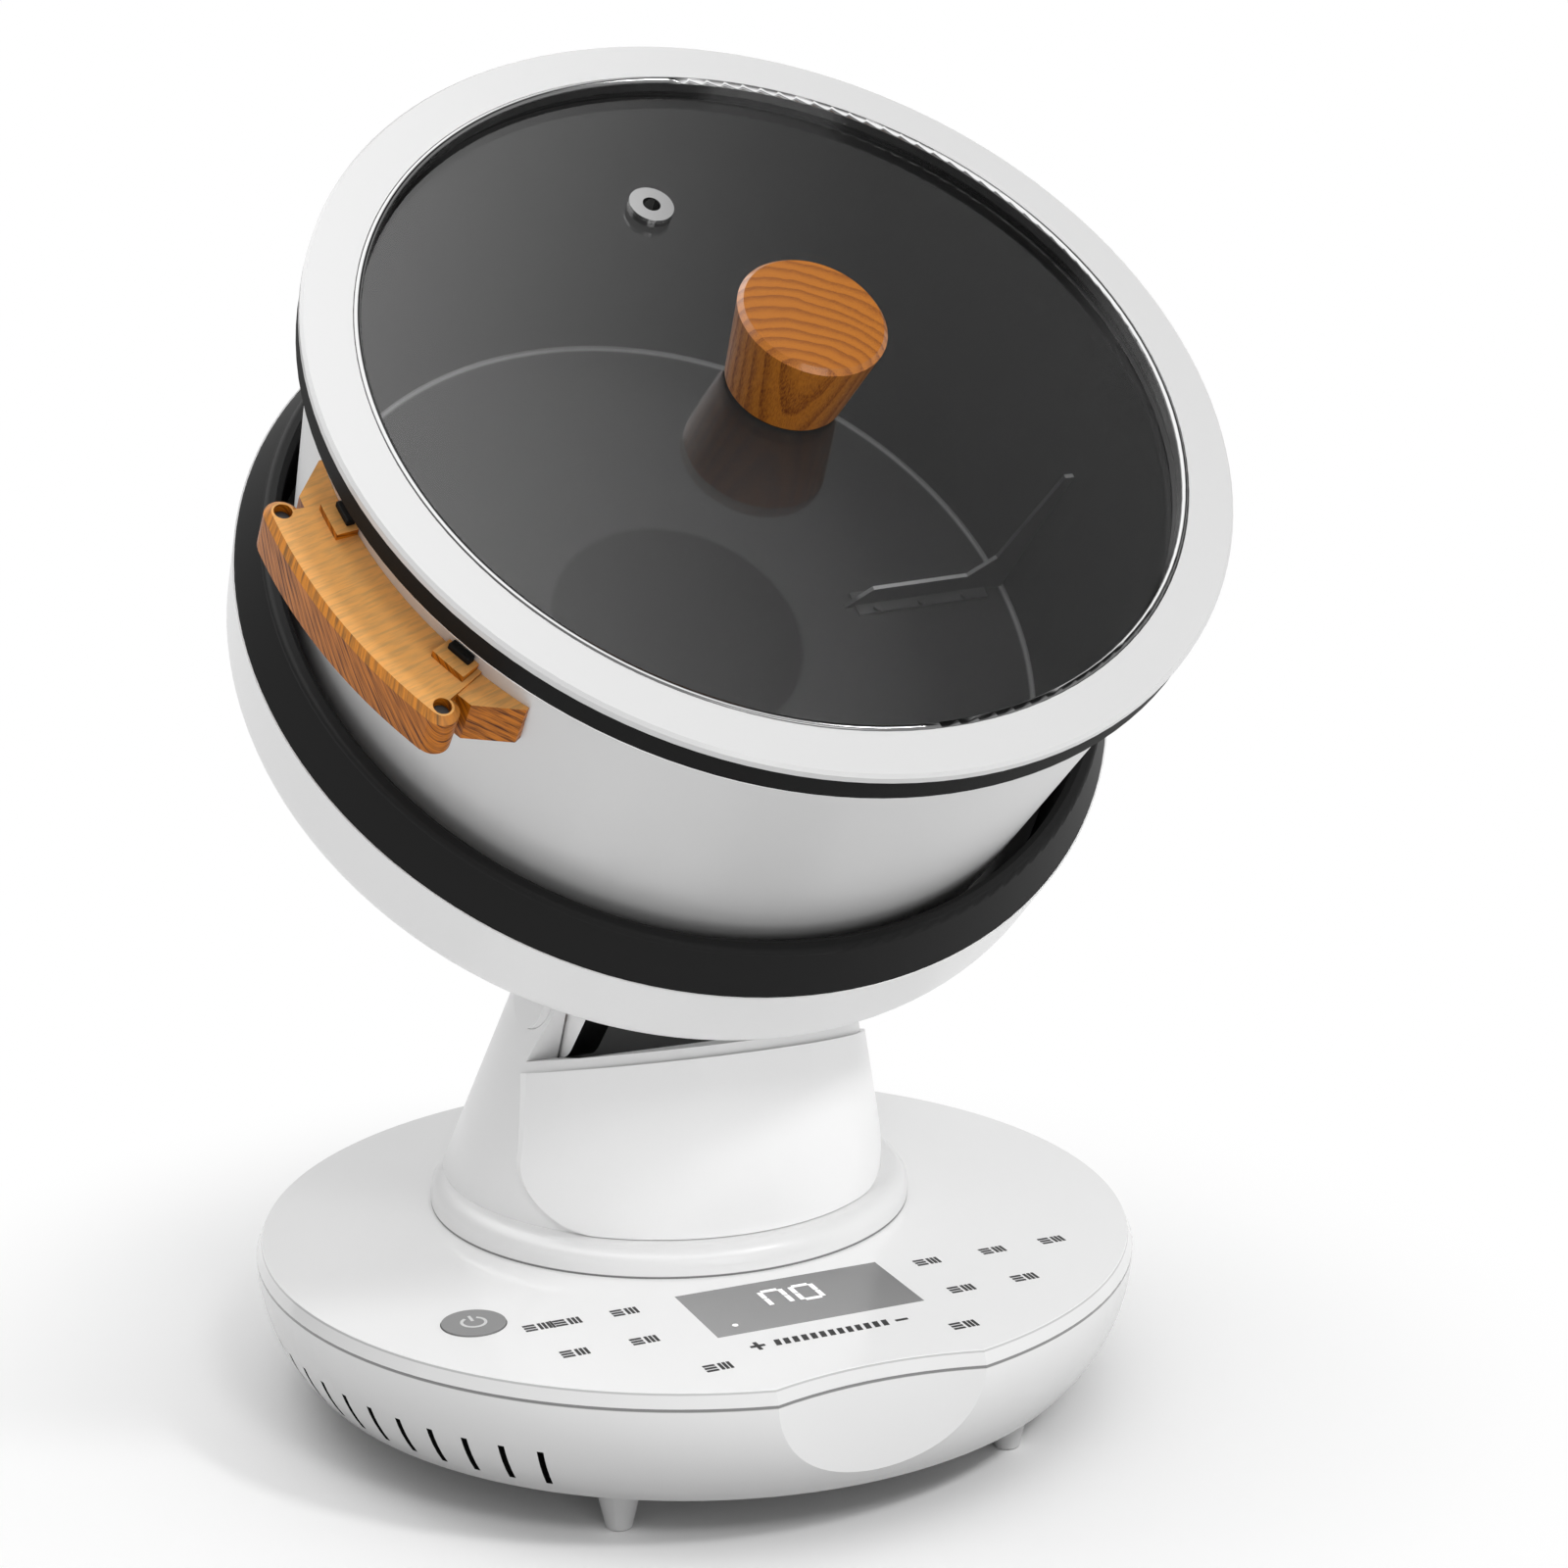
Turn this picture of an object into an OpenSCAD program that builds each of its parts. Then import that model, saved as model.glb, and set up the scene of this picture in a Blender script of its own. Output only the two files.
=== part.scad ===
// Automatic stir fry machine: a round base with a control panel, a leaning column that forks round a
// tilting head, a turning pot that lifts out of the head, and a glass lid that lifts off the pot.
// Millimetres, +Z up, front towards -Y, origin on the table under the middle of the base.

/* [Base] */
// Diameter of the base at the seam under the control panel
base_d = 312; // [296:1:330]
// Diameter of the base at its lower edge
base_bottom_d = 282; // [276:1:292]
// Height of the bowl shaped side wall
wall_h = 37.5; // [34:0.5:46]
// Thickness of the base mouldings
base_wall = 3; // [2.4:0.1:3.6]
// Height of the feet under the base
foot_h = 17; // [10:0.5:22]
// Diameter of a foot where it meets the base
foot_d = 16.5; // [13:0.5:20]
// Diameter of a foot on the table
foot_tip_d = 9; // [7:0.5:12]
// Distance of the feet from the middle of the base
foot_radius = 126; // [110:1:127]
// Angle of the feet from the front and from the rear
foot_angle = 34; // [32:1:42]

/* [Front scallop] */
// Radius of the hollow in the front edge
scallop_r = 132; // [110:1:160]
// Depth of the hollow at its middle
scallop_depth = 9.2; // [6:0.2:11]

/* [Cooling vents] */
// Number of slots in the left side
vent_count = 11; // [5:1:12]
// Angle between two slots
vent_step = 5; // [4:0.25:5]
// Angle of the first slot from the front
vent_first = 41; // [38:1:44]
// Width of a slot
vent_w = 2.2; // [1.4:0.1:3]
// Height of a slot
vent_h = 14; // [8:0.5:16]
// Height of a slot's lower end over the lower edge of the base
vent_lift = 5; // [4:0.5:8]

/* [Control panel] */
// Height of the panel's edge over the seam
panel_h = 4.5; // [4:0.1:6]
// Bevel of the panel's edge
panel_bevel = 2; // [1:0.1:3]
// Width of the display window
display_w = 74; // [60:1:80]
// Depth of the display window
display_l = 37; // [28:1:40]
// Distance of the display's middle in front of the base's middle
display_front = 88.5; // [86:0.5:92]
// Diameter of the power key
key_d = 21; // [16:0.5:24]
// Distance of the power key to the left of the middle
key_left = 104.5; // [100:0.5:108]
// Distance of the power key in front of the middle
key_front = 64; // [58:0.5:70]
// Travel of the power key
key_travel = 1.2; // [0.8:0.1:1.4]

/* [Mains inlet] */
// Width of the inlet socket
inlet_w = 30; // [26:1:34]
// Height of the inlet socket
inlet_h = 21; // [18:0.5:22]

/* [Fan] */
// Side of the square fan frame
fan_size = 64; // [56:1:68]
// Height of the fan frame
fan_h = 16; // [12:0.5:18]
// Number of fan blades
fan_blades = 7; // [5:1:9]

/* [Column] */
// Diameter of the column at the panel
column_d = 166; // [160:1:170]
// Distance of the column's foot behind the base's middle
column_back = 30; // [26:1:34]
// Forward lean of the column
column_lean = 16; // [13:0.5:18]
// Taper of the column on each side
column_taper = 15; // [14:0.25:15.5]
// Wall of the column
column_wall = 4; // [3:0.1:5]
// Width of the collar outside the column's foot
collar_rim = 4.5; // [4:0.1:7]
// Distance of the collar's middle behind the base's middle
collar_back = 26; // [24:0.5:29]
// Height of the collar
collar_h = 10; // [8:0.5:12]
// Thickness of the column's cheeks at the tilt axle
cheek_t = 6.5; // [6:0.1:9]
// Height of the fork's floor over the panel
fork_floor = 62; // [56:0.5:62]
// Thickness of the front apron
apron_t = 1.8; // [1.2:0.1:2.2]
// Width of the front apron over its lower corners
apron_w = 138; // [130:1:140]
// Inward slope of the apron's side edges
apron_taper = 7.5; // [6:0.5:9]
// Radius of the apron's lower corners
apron_corner = 18; // [14:1:22]
// Height of the lip in front of the fork over the fork's floor
lip_h = 17; // [14:0.5:17.5]
// Upward slope of the lip towards the front
lip_rise = 15.5; // [13:0.5:17]
// Height of the lip's band that shows over the apron
lip_band = 4; // [3:0.5:6]
// Distance from the tilt axle to the front edges of the cheeks
cheek_front = 15; // [14.5:0.5:18]
// Forward lean of the front edges of the cheeks
cheek_lean = 28; // [24:1:32]

/* [Tilt joint] */
// Tilt of the head from upright, as photographed
tilt = 45; // [35:0.5:50]
// Height of the tilt axle over the panel
pivot_h = 88; // [87:0.5:92]
// Diameter of the tilt axle
axle_d = 12; // [10:0.5:14]
// Diameter of the yoke's round ends
lug_d = 48; // [40:1:50]
// Thickness of each yoke lug
lug_t = 10; // [8:0.5:12]

/* [Head] */
// Distance of the bezel's middle behind the base's middle
head_back = 3.8; // [0:0.2:8]
// Height of the bezel's middle over the panel
head_h = 218.7; // [214:0.1:226]
// Diameter of the dish at its rim
dish_d = 311; // [305:1:316]
// Depth of the dish
dish_h = 38; // [36:0.5:40]
// Radius of the dish's lower corner
dish_corner = 12; // [8:0.5:14]
// Wall of the dish
dish_wall = 3; // [2.4:0.1:3.4]
// Diameter of the motor housing under the dish
motor_cover_d = 150; // [148:0.5:152]
// Depth of the motor housing under the dish
motor_cover_h = 44; // [42:0.5:48]
// Height of the black bezel over the dish's rim
bezel_h = 16; // [12:0.5:17]
// Diameter of the bezel's upper lip
bezel_lip_d = 293; // [291:0.5:297]
// Diameter of the well that takes the pot
well_d = 285; // [283.5:0.5:286.5]

/* [Pot drive] */
// Gear module
gear_module = 1.5; // [1.4:0.05:1.6]
// Teeth on the hub gear
hub_teeth = 44; // [42:1:45]
// Teeth on the motor pinion
pinion_teeth = 16; // [16:1:17]
// Diameter of the drive hub's plate
hub_d = 92; // [84:1:96]
// Diameter of the drive hub's shaft
hub_shaft_d = 20; // [18:0.5:22]
// Diameter of a drive dog
dog_d = 10; // [8:0.5:11]
// Diameter of the gear motor
motor_d = 50; // [44:1:52]

/* [Pot] */
// Depth of the pot's floor under the bezel plane
floor_drop = 14.3; // [13.5:0.1:14.5]
// Inner diameter of the pot at its floor
pot_floor_d = 265.4; // [260:0.2:267]
// Inner diameter of the pot at its mouth
pot_mouth_d = 285.6; // [280:0.2:286]
// Depth of the pot
pot_depth = 119.3; // [110:0.1:130]
// Wall of the pan
pan_wall = 2; // [1.6:0.1:2.2]
// Thickness of the steel jacket
jacket_t = 1; // [0.8:0.1:1.2]
// Thickness of the pan's floor
pan_floor = 4; // [3:0.1:4.4]
// Height of the rim bead
bead_h = 3.5; // [3:0.1:4.5]
// Diameter of the rim bead
bead_d = 298; // [296:0.5:300]
// Height of the stirring fin over the floor
fin_h = 9; // [6:0.5:12]
// Height that the fin climbs up the wall
fin_climb = 61; // [40:1:80]
// Distance of the fin's inner end from the pot's axis
fin_inner = 66; // [55:1:80]

/* [Handles] */
// Distance of the grips' inner face from the pot's axis
grip_inner = 157; // [156:0.5:160]
// Width of a grip
grip_w = 11; // [9:0.5:13]
// Height of a grip
grip_h = 18; // [14:0.5:22]
// Distance of the grips' top under the pot's mouth
grip_drop = 12.5; // [10:0.5:16]
// Angle that a grip spans
grip_span = 28; // [24:1:34]
// Angle of the left grip from the head's low front
grip_angle = -67; // [-75:1:-60]

/* [Lid] */
// Diameter of the lid
lid_d = 302; // [300:1:306]
// Height of the rim ring
rim_h = 4.1; // [3:0.1:6]
// Inner diameter of the rim ring
rim_inner_d = 270.6; // [262:0.2:272]
// Thickness of the glass
glass_t = 4; // [3:0.1:5]
// Height of the black seal
seal_h = 7.5; // [7:0.1:9]
// Height of the knob
knob_h = 31; // [24:0.5:40]
// Diameter of the knob's foot
knob_foot_d = 39; // [32:0.5:42]
// Diameter of the knob's top
knob_top_d = 48; // [44:0.5:54]
// Distance of the steam vent from the knob
vent_eye_r = 81; // [60:1:100]
// Diameter of the steam vent's eyelet
vent_eye_d = 15; // [12:0.5:18]

/* [Hidden] */
$fn = 96;
fine = 0.01;            // overshoot of a cut
slack = 0.3;            // gap between neighbouring mouldings
run_gap = 0.05;         // radial gap of a shaft in its bearing
rest_gap = 0.2;         // gap under a piece that rests and lifts off

base_r = base_d / 2;
base_bottom_r = base_bottom_d / 2;
wall_in = base_r - base_bottom_r;
wall_arc = (wall_h * wall_h + wall_in * wall_in) / (2 * wall_in);
seam_z = foot_h + wall_h;
panel_z = seam_z + panel_h;
panel_r = base_r - panel_bevel;
cover_under = panel_z - base_wall;
cover_lip_h = 4;
scallop_y = -(base_r - scallop_depth + scallop_r);

plate_t = 2.5;
plate_z = foot_h + 0.5;
plate_r = base_r - wall_arc + sqrt(pow(wall_arc - base_wall, 2) - pow(seam_z - plate_z, 2)) - slack;
screw_d = 3;
screw_head_d = 6;
screw_head_h = 2;
base_boss_d = 9;
base_boss_r = plate_r - base_boss_d / 2 - 2;
base_boss_angles = [-160, -110, -25, 25, 110, 160];
foot_angles = [-180 + foot_angle, -foot_angle, foot_angle, 180 - foot_angle];
foot_peg_d = 6;
foot_round = 1;

board_t = 1.6;
board_lift = 6;
main_board = [118, 84];
main_board_at = [38, 12];
main_board_z = plate_z + plate_t + board_lift;
sink_w = 46;
sink_l = 26;
sink_h = 14;
sink_floor = 4;
sink_fin = 2;
sink_left = 40;
can_d = 16;
can_h = 16;
can_right = 26;
can_apart = 14;
standoff_d = 7;
standoff_in = 6;
fan_at = [-78, -14];
fan_bore = fan_size - 4;
fan_hub_d = 24;
fan_post_d = 6;
fan_z = plate_z + plate_t;
fan_gap = 1;

panel_board_drop = 8;
panel_board_z = cover_under - panel_board_drop;
panel_board_r = base_r - base_wall - 7;
panel_board_rear = display_front - display_l / 2 - 14;
panel_board_front = display_front + display_l / 2 + 14;
panel_board_left = key_left + key_d / 2 + 6;
panel_board_right = display_w / 2 + 20;
panel_post_d = 6;
panel_posts = [[-display_w / 2 - 8, -panel_board_rear - 8], [display_w / 2 + 8, -panel_board_rear - 8],
               [-display_w / 2 - 8, -panel_board_front + 8], [display_w / 2 + 8, -panel_board_front + 8]];
switch_side = 12;
key_flange = 1.5;
key_stem_d = 6;
switch_h = panel_board_drop - key_flange - key_travel - 2.5;

inlet_deep = 20;
inlet_wall = 3;
inlet_y = base_r - 3;
inlet_z = foot_h + wall_h * 0.5;

column_r = column_d / 2;
column_slope = tan(column_taper);
pivot_s = pivot_h / cos(column_lean);
pivot_y = column_back - pivot_h * tan(column_lean);
pivot_z = panel_z + pivot_h;
cheek_r = column_r - pivot_s * column_slope;
fork_w = 2 * (cheek_r - cheek_t);
cheek_edge = 1.2;
column_top = (column_r - fork_w / 2 - cheek_edge) / column_slope;
fork_floor_t = 5;
fork_z = panel_z + fork_floor;
lip_slope = tan(lip_rise);
lip_reach = 57;
lug_room = 3;
lip_front = pivot_y - lip_reach;
lip_back = pivot_y - lug_d / 2 - lug_room;
cheek_foot = pivot_y - cheek_front / cos(cheek_lean) + (pivot_z - fork_z) * tan(cheek_lean);
fork_sky = 2 * base_r;
column_flange_in = 14;
column_flange_t = 4;
column_boss_r = column_r - column_wall - 7;
column_boss_angles = [45, 135, 225, 315];
collar_d = column_d + 2 * collar_rim;
collar_round = 6;
collar_edge = 3.5;
column_foot_r = collar_d / 2 - collar_edge;
cable_hole_d = 36;
cap_d = 26;
cap_h = 3;
cap_sink = 1.6;

head_z = panel_z + head_h;
pivot_w = (pivot_y - head_back) * cos(tilt) + (pivot_z - head_z) * sin(tilt);
pivot_t = -(pivot_y - head_back) * sin(tilt) + (pivot_z - head_z) * cos(tilt);
dish_r = dish_d / 2;
dish_draft = 1.5;
dish_corner_r = dish_r - dish_draft - dish_corner;
motor_cover_r = motor_cover_d / 2;
motor_cover_corner = 9;
motor_floor = -dish_h - motor_cover_h + dish_wall;
bezel_lip_r = bezel_lip_d / 2;
bezel_wall = 3;
bezel_round = 2;
bezel_spigot = 5;
bezel_ledge = 4.5;
well_r = well_d / 2;

washer_t = 0.7;
washer_d = 28;
lug_out = fork_w / 2 - washer_t - 0.3;
lug_in = lug_out - lug_t;
bush_wall = 3;
yoke_plate_t = 4;
yoke_plate_side = 9;
yoke_bolt_d = 5;
yoke_bolt_head_d = 9;
yoke_bolt_head_h = 3.5;
yoke_bolt_x = lug_in - 11;
yoke_bolt_edge = 6;
yoke_bolt_clear = 0.5;
yoke_bolt_ring = motor_cover_r + yoke_bolt_head_d / 2 + yoke_bolt_clear;
yoke_bolt_low = pivot_w - lug_d / 2 + yoke_bolt_edge;
yoke_bolt_high = min(pivot_w + lug_d / 2 - yoke_bolt_edge,
                     -sqrt(yoke_bolt_ring * yoke_bolt_ring - yoke_bolt_x * yoke_bolt_x));

pot_under = -floor_drop - pan_floor;
coupling_t = 5.5;
coupling_gap = rest_gap;
hub_top = pot_under - coupling_t - coupling_gap;
hub_plate_t = 4;
hub_r = hub_d / 2;
deck_hole_r = hub_r + 4;
deck_t = 3.2;
deck_top = pot_under - 2.8;
deck_under = deck_top - deck_t;
dish_floor = -dish_h + dish_wall;
bracket_t = 3;
bracket_r = motor_cover_r + 9;
bracket_top = dish_floor + bracket_t;
coil_t = 3;
coil_out = 112;
coil_in = deck_hole_r + 6;
tray_t = 2.6;
tray_under = deck_under - coil_t - tray_t - 0.4;
tray_leg_d = 8;
tray_leg_r = coil_out - 2;
bush_collar = 3;
bush_out = hub_shaft_d / 2 + 5;
hub_plate_under = hub_top - hub_plate_t;
gear_t = 7;
gear_top = dish_floor - 7;
gear_backlash = 0.12;
pressure_angle = 20;
hub_pitch_r = hub_teeth * gear_module / 2;
pinion_pitch_r = pinion_teeth * gear_module / 2;
gear_centre = hub_pitch_r + pinion_pitch_r + 0.1;
motor_shaft_d = 6;
motor_foot_t = 3;
motor_foot_w = 10;
motor_ear = 7;
motor_shaft_in = 12;
motor_top = gear_top - gear_t - 4;
sensor_d = 8;
sensor_head_d = 14;
sensor_head_h = 3;
dog_count = 3;
dog_circle_r = hub_r - dog_d - 4;
dog_gap = 0.4;

pot_floor_r = pot_floor_d / 2;
pot_mouth_r = pot_mouth_d / 2;
mouth_t = pot_depth - floor_drop;
pot_flare = (pot_mouth_r - pot_floor_r) / pot_depth;
pan_top = mouth_t - bead_h;
pan_fillet = 4;
bead_r = bead_d / 2;
bead_overhang = 2.5;
fin_t = 1.6;
fin_angle = 5;
fin_foot_w = 10;
fin_foot_t = 1;
rivet_d = 5;
rivet_h = 1.2;
grip_top = mouth_t - grip_drop;
grip_bottom = grip_top - grip_h;
grip_outer = grip_inner + grip_w;
grip_mid = grip_inner + grip_w / 2;
grip_chamfer = 2;
end_step = 0.1;
block_inset = 1;
block_gap = 1.5;
wedge_l = 17;
wedge_turn = 10;
boss_turn = 4.5;
boss_in = 0.6;
boss_w = 7;
boss_h = 2.5;
grip_hole_d = 5.5;
grip_screw_d = 4.8;

seal_bottom = mouth_t + rest_gap;
seal_top = seal_bottom + seal_h;
glass_top = seal_top;
glass_r = rim_inner_d / 2 + 4.7;
rim_r = lid_d / 2;
trim_w = 2.5;
trim_over = 0.5;
seal_r = rim_r - 0.5;
seal_lip_w = 4;
knob_washer_t = 1.2;
knob_washer_d = knob_foot_d - 2;
knob_bevel = 1.6;
knob_screw_d = 5;
knob_screw_head_d = 12;
knob_screw_head_h = 2.5;
knob_screw_up = 16;
eye_tube_d = 8.8;
eye_hole_d = 6;
eye_flange_t = 1.5;
vent_eye_at = -164;

white_plastic = "whitesmoke";
black_plastic = [0.13, 0.13, 0.13];
dark_grey = [0.32, 0.33, 0.34];
steel = "silver";
wood = "peru";
board_green = "seagreen";

// Radius of the pot's inner wall at a height over the bezel plane
function pot_inner(t) = pot_floor_r + (t + floor_drop) * pot_flare;
function pot_outer(t) = pot_inner(t) + pan_wall + jacket_t;
// Point of an involute at a roll angle
function involute(rb, a) = [rb * (cos(a) + a * PI / 180 * sin(a)), rb * (sin(a) - a * PI / 180 * cos(a))];
function turn(p, a) = [p[0] * cos(a) - p[1] * sin(a), p[0] * sin(a) + p[1] * cos(a)];

// Frames: the head's axis is tilted forward, the column's axis leans forward
module head_frame() {
    translate([0, head_back, head_z]) rotate([tilt, 0, 0]) children();
}
module column_frame() {
    translate([0, column_back, panel_z]) rotate([column_lean, 0, 0]) children();
}
// A place at an angle from the front, seen from above, on a circle
module around(angles, r) {
    for (a = angles) rotate([0, 0, a - 90]) translate([r, 0, 0]) children();
}
module tube(r_out, r_in, h) {
    difference() {
        cylinder(r = r_out, h = h);
        translate([0, 0, -fine]) cylinder(r = r_in, h = h + 2 * fine);
    }
}
// Ring with a square section between two radii and two heights
module ring(r_in, r_out, low, high) {
    translate([0, 0, low]) tube(r_out, r_in, high - low);
}
module box_at(size, centre) {
    translate([centre[0] - size[0] / 2, centre[1] - size[1] / 2, centre[2]]) cube(size);
}
module screw(d, length, head_d, head_h) {
    cylinder(d = d, h = length);
    translate([0, 0, -head_h]) cylinder(d = head_d, h = head_h);
}

// Base

// Half section of the bowl, and of its wall
module bowl_profile() {
    intersection() {
        translate([base_r - wall_arc, seam_z]) circle(r = wall_arc, $fn = 180);
        translate([base_r - wall_arc, foot_h]) square([wall_arc, wall_h]);
    }
    translate([0, foot_h]) square([base_r - wall_arc, wall_h]);
}
module bowl_wall_profile() {
    difference() {
        bowl_profile();
        translate([base_r - wall_arc, seam_z]) circle(r = wall_arc - base_wall, $fn = 180);
        translate([0, foot_h - 1]) square([base_r - wall_arc, wall_h + 2]);
    }
}
module scallop_cut(r_low, r_high, low, high) {
    translate([0, scallop_y, low]) cylinder(r1 = r_low, r2 = r_high, h = high - low, $fn = 180);
}
module base_bosses() {
    around(base_boss_angles, base_boss_r) {
        translate([0, 0, plate_z + plate_t]) cylinder(d = base_boss_d, h = wall_h * 0.4);
        translate([0, -base_wall / 2, plate_z + plate_t])
            cube([base_r - base_boss_r, base_wall, wall_h * 0.4]);
    }
}
module base_shell() {
    color(white_plastic) difference() {
        union() {
            rotate_extrude($fn = 180) bowl_wall_profile();
            intersection() {
                rotate_extrude($fn = 180) bowl_profile();
                union() {
                    scallop_cut(scallop_r + base_wall, scallop_r + base_wall, plate_z + plate_t, seam_z);
                    base_bosses();
                }
            }
        }
        scallop_cut(scallop_r, scallop_r, foot_h - 1, seam_z + 1);
        for (i = [0 : vent_count - 1])
            rotate([0, 0, -90 - vent_first - i * vent_step])
                translate([base_bottom_r - 4 * base_wall, -vent_w / 2, foot_h + vent_lift])
                    cube([base_r, vent_w, vent_h]);
        translate([-inlet_w / 2 - slack, base_bottom_r - 6, inlet_z - inlet_h / 2 - slack])
            cube([inlet_w + 2 * slack, base_r, inlet_h + 2 * slack]);
        around(base_boss_angles, base_boss_r)
            translate([0, 0, foot_h]) cylinder(d = screw_d, h = wall_h * 0.35);
    }
}
module base_plate() {
    color("gainsboro") difference() {
        union() {
            translate([0, 0, plate_z]) cylinder(r = plate_r, h = plate_t, $fn = 180);
            for (x = [-1, 1], y = [-1, 1])
                translate([main_board_at[0] + x * (main_board[0] / 2 - standoff_in),
                           main_board_at[1] + y * (main_board[1] / 2 - standoff_in), plate_z])
                    cylinder(d = standoff_d, h = plate_t + board_lift);
        }
        scallop_cut(scallop_r + base_wall + slack, scallop_r + base_wall + slack, foot_h, seam_z);
        around(base_boss_angles, base_boss_r)
            translate([0, 0, foot_h]) cylinder(d = screw_d + slack, h = plate_t + 2);
        around(foot_angles, foot_radius)
            translate([0, 0, foot_h]) cylinder(d = foot_peg_d, h = plate_t + 2);
        for (i = [-3 : 3])
            translate([fan_at[0] + i * 7 - 2, fan_at[1] - fan_bore * 0.36, foot_h])
                cube([4, fan_bore * 0.72, plate_t + 2]);
    }
}
module feet() {
    color("gainsboro") around(foot_angles, foot_radius) {
        rotate_extrude() {
            polygon([[0, 0], [foot_tip_d / 2 - foot_round, 0], [foot_tip_d / 2, foot_round],
                     [foot_d / 2, plate_z], [0, plate_z]]);
            translate([foot_tip_d / 2 - foot_round, foot_round])
                intersection() {
                    circle(r = foot_round);
                    translate([0, -foot_round]) square(foot_round);
                }
        }
        translate([0, 0, plate_z]) cylinder(d = foot_peg_d, h = plate_t);
    }
}
module base_screws() {
    color(steel) around(base_boss_angles, base_boss_r)
        translate([0, 0, plate_z]) screw(screw_d, plate_t + 6, screw_head_d, screw_head_h);
}

// Control panel

module control_panel() {
    color("white") difference() {
        union() {
            difference() {
                translate([0, 0, seam_z]) cylinder(r1 = base_r, r2 = panel_r, h = panel_h, $fn = 180);
                difference() {
                    translate([0, 0, seam_z - fine])
                        cylinder(r = panel_r - base_wall - 2, h = cover_under - seam_z + fine, $fn = 180);
                    scallop_cut(scallop_r + panel_bevel + base_wall, scallop_r + panel_bevel + base_wall,
                                seam_z - 1, panel_z);
                }
            }
            difference() {
                ring(panel_r - base_wall - 3, base_r - base_wall - slack - 0.4,
                     seam_z - cover_lip_h, cover_under);
                scallop_cut(scallop_r + base_wall + slack, scallop_r + base_wall + slack, foot_h, seam_z);
            }
            for (p = panel_posts)
                translate([p[0], p[1], panel_board_z]) cylinder(d = panel_post_d, h = panel_board_drop);
        }
        scallop_cut(scallop_r, scallop_r + panel_bevel, seam_z, panel_z + fine);
        translate([-display_w / 2, -display_front - display_l / 2, seam_z])
            cube([display_w, display_l, panel_h + 1]);
        translate([-key_left, -key_front, seam_z]) cylinder(d = key_d + 2 * slack, h = panel_h + 1);
        translate([0, column_back, seam_z]) cylinder(d = cable_hole_d, h = panel_h + 1);
        translate([0, column_back, seam_z]) around(column_boss_angles, column_boss_r)
            cylinder(d = screw_d + slack, h = panel_h + 1);
    }
}
module display_window() {
    color(dark_grey)
        box_at([display_w, display_l, base_wall], [0, -display_front, cover_under]);
}
module display_module() {
    color("black")
        box_at([display_w - 6, display_l - 6, panel_board_drop - rest_gap],
               [0, -display_front, panel_board_z]);
}
module panel_board() {
    color(board_green) difference() {
        intersection() {
            translate([-panel_board_left, -panel_board_front, panel_board_z - board_t])
                cube([panel_board_left + panel_board_right, panel_board_front - panel_board_rear, board_t]);
            cylinder(r = panel_board_r, h = panel_z);
        }
        scallop_cut(scallop_r + base_wall + 2, scallop_r + base_wall + 2, foot_h, seam_z);
    }
}
module key_switch() {
    color("dimgray")
        box_at([switch_side, switch_side, switch_h], [-key_left, -key_front, panel_board_z]);
}
module power_key() {
    color("gray") translate([-key_left, -key_front, 0]) {
        translate([0, 0, cover_under - rest_gap]) cylinder(d = key_d, h = base_wall + rest_gap + 0.5);
        translate([0, 0, cover_under - rest_gap - key_flange]) cylinder(d = key_d + 4, h = key_flange);
        translate([0, 0, panel_board_z + switch_h + key_travel + rest_gap])
            cylinder(d = key_stem_d, h = cover_under - panel_board_z - switch_h - key_travel - rest_gap);
    }
}

// Electronics and fan

module main_board() {
    color(board_green)
        box_at([main_board[0], main_board[1], board_t], [main_board_at[0], main_board_at[1], main_board_z]);
}
module power_stage() {
    left = main_board_at[0] - sink_left;
    front = main_board_at[1] - sink_l / 2;
    top = main_board_z + board_t;
    color("lightslategray") {
        translate([left, front, top]) cube([sink_w, sink_l, sink_floor]);
        for (i = [0 : 6])
            translate([left + i * (sink_w - sink_fin) / 6, front, top]) cube([sink_fin, sink_l, sink_h]);
        for (y = [-1, 1])
            translate([main_board_at[0] + can_right, main_board_at[1] + y * can_apart, top])
                cylinder(d = can_d, h = can_h);
    }
}
module fan_frame() {
    color([0.2, 0.2, 0.2]) translate([fan_at[0], fan_at[1], fan_z]) {
        difference() {
            translate([-fan_size / 2, -fan_size / 2, 0]) cube([fan_size, fan_size, fan_h]);
            translate([0, 0, -fine]) cylinder(d = fan_bore, h = fan_h + 2 * fine);
        }
        for (a = [0, 120, 240])
            rotate([0, 0, a]) translate([0, -1.5, 0]) cube([fan_bore / 2 + 1, 3, 1.5]);
        cylinder(d = fan_hub_d - 4, h = 1.5);
        cylinder(d = fan_post_d, h = fan_h - 5);
    }
}
module fan_rotor() {
    color([0.3, 0.3, 0.3]) translate([fan_at[0], fan_at[1], fan_z + 1.5 + fan_gap]) {
        difference() {
            union() {
                cylinder(d = fan_hub_d, h = fan_h - 4);
                for (i = [0 : fan_blades - 1])
                    rotate([0, 0, i * 360 / fan_blades]) translate([fan_hub_d / 2 - 1, 0, (fan_h - 4) / 2])
                        rotate([40, 0, 0]) translate([0, -0.7, -4.5])
                            cube([fan_bore / 2 - fan_gap - fan_hub_d / 2 + 0.5, 1.4, 9]);
            }
            translate([0, 0, -fine]) cylinder(r = fan_post_d / 2 + run_gap, h = fan_h - 7);
        }
    }
}
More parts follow.
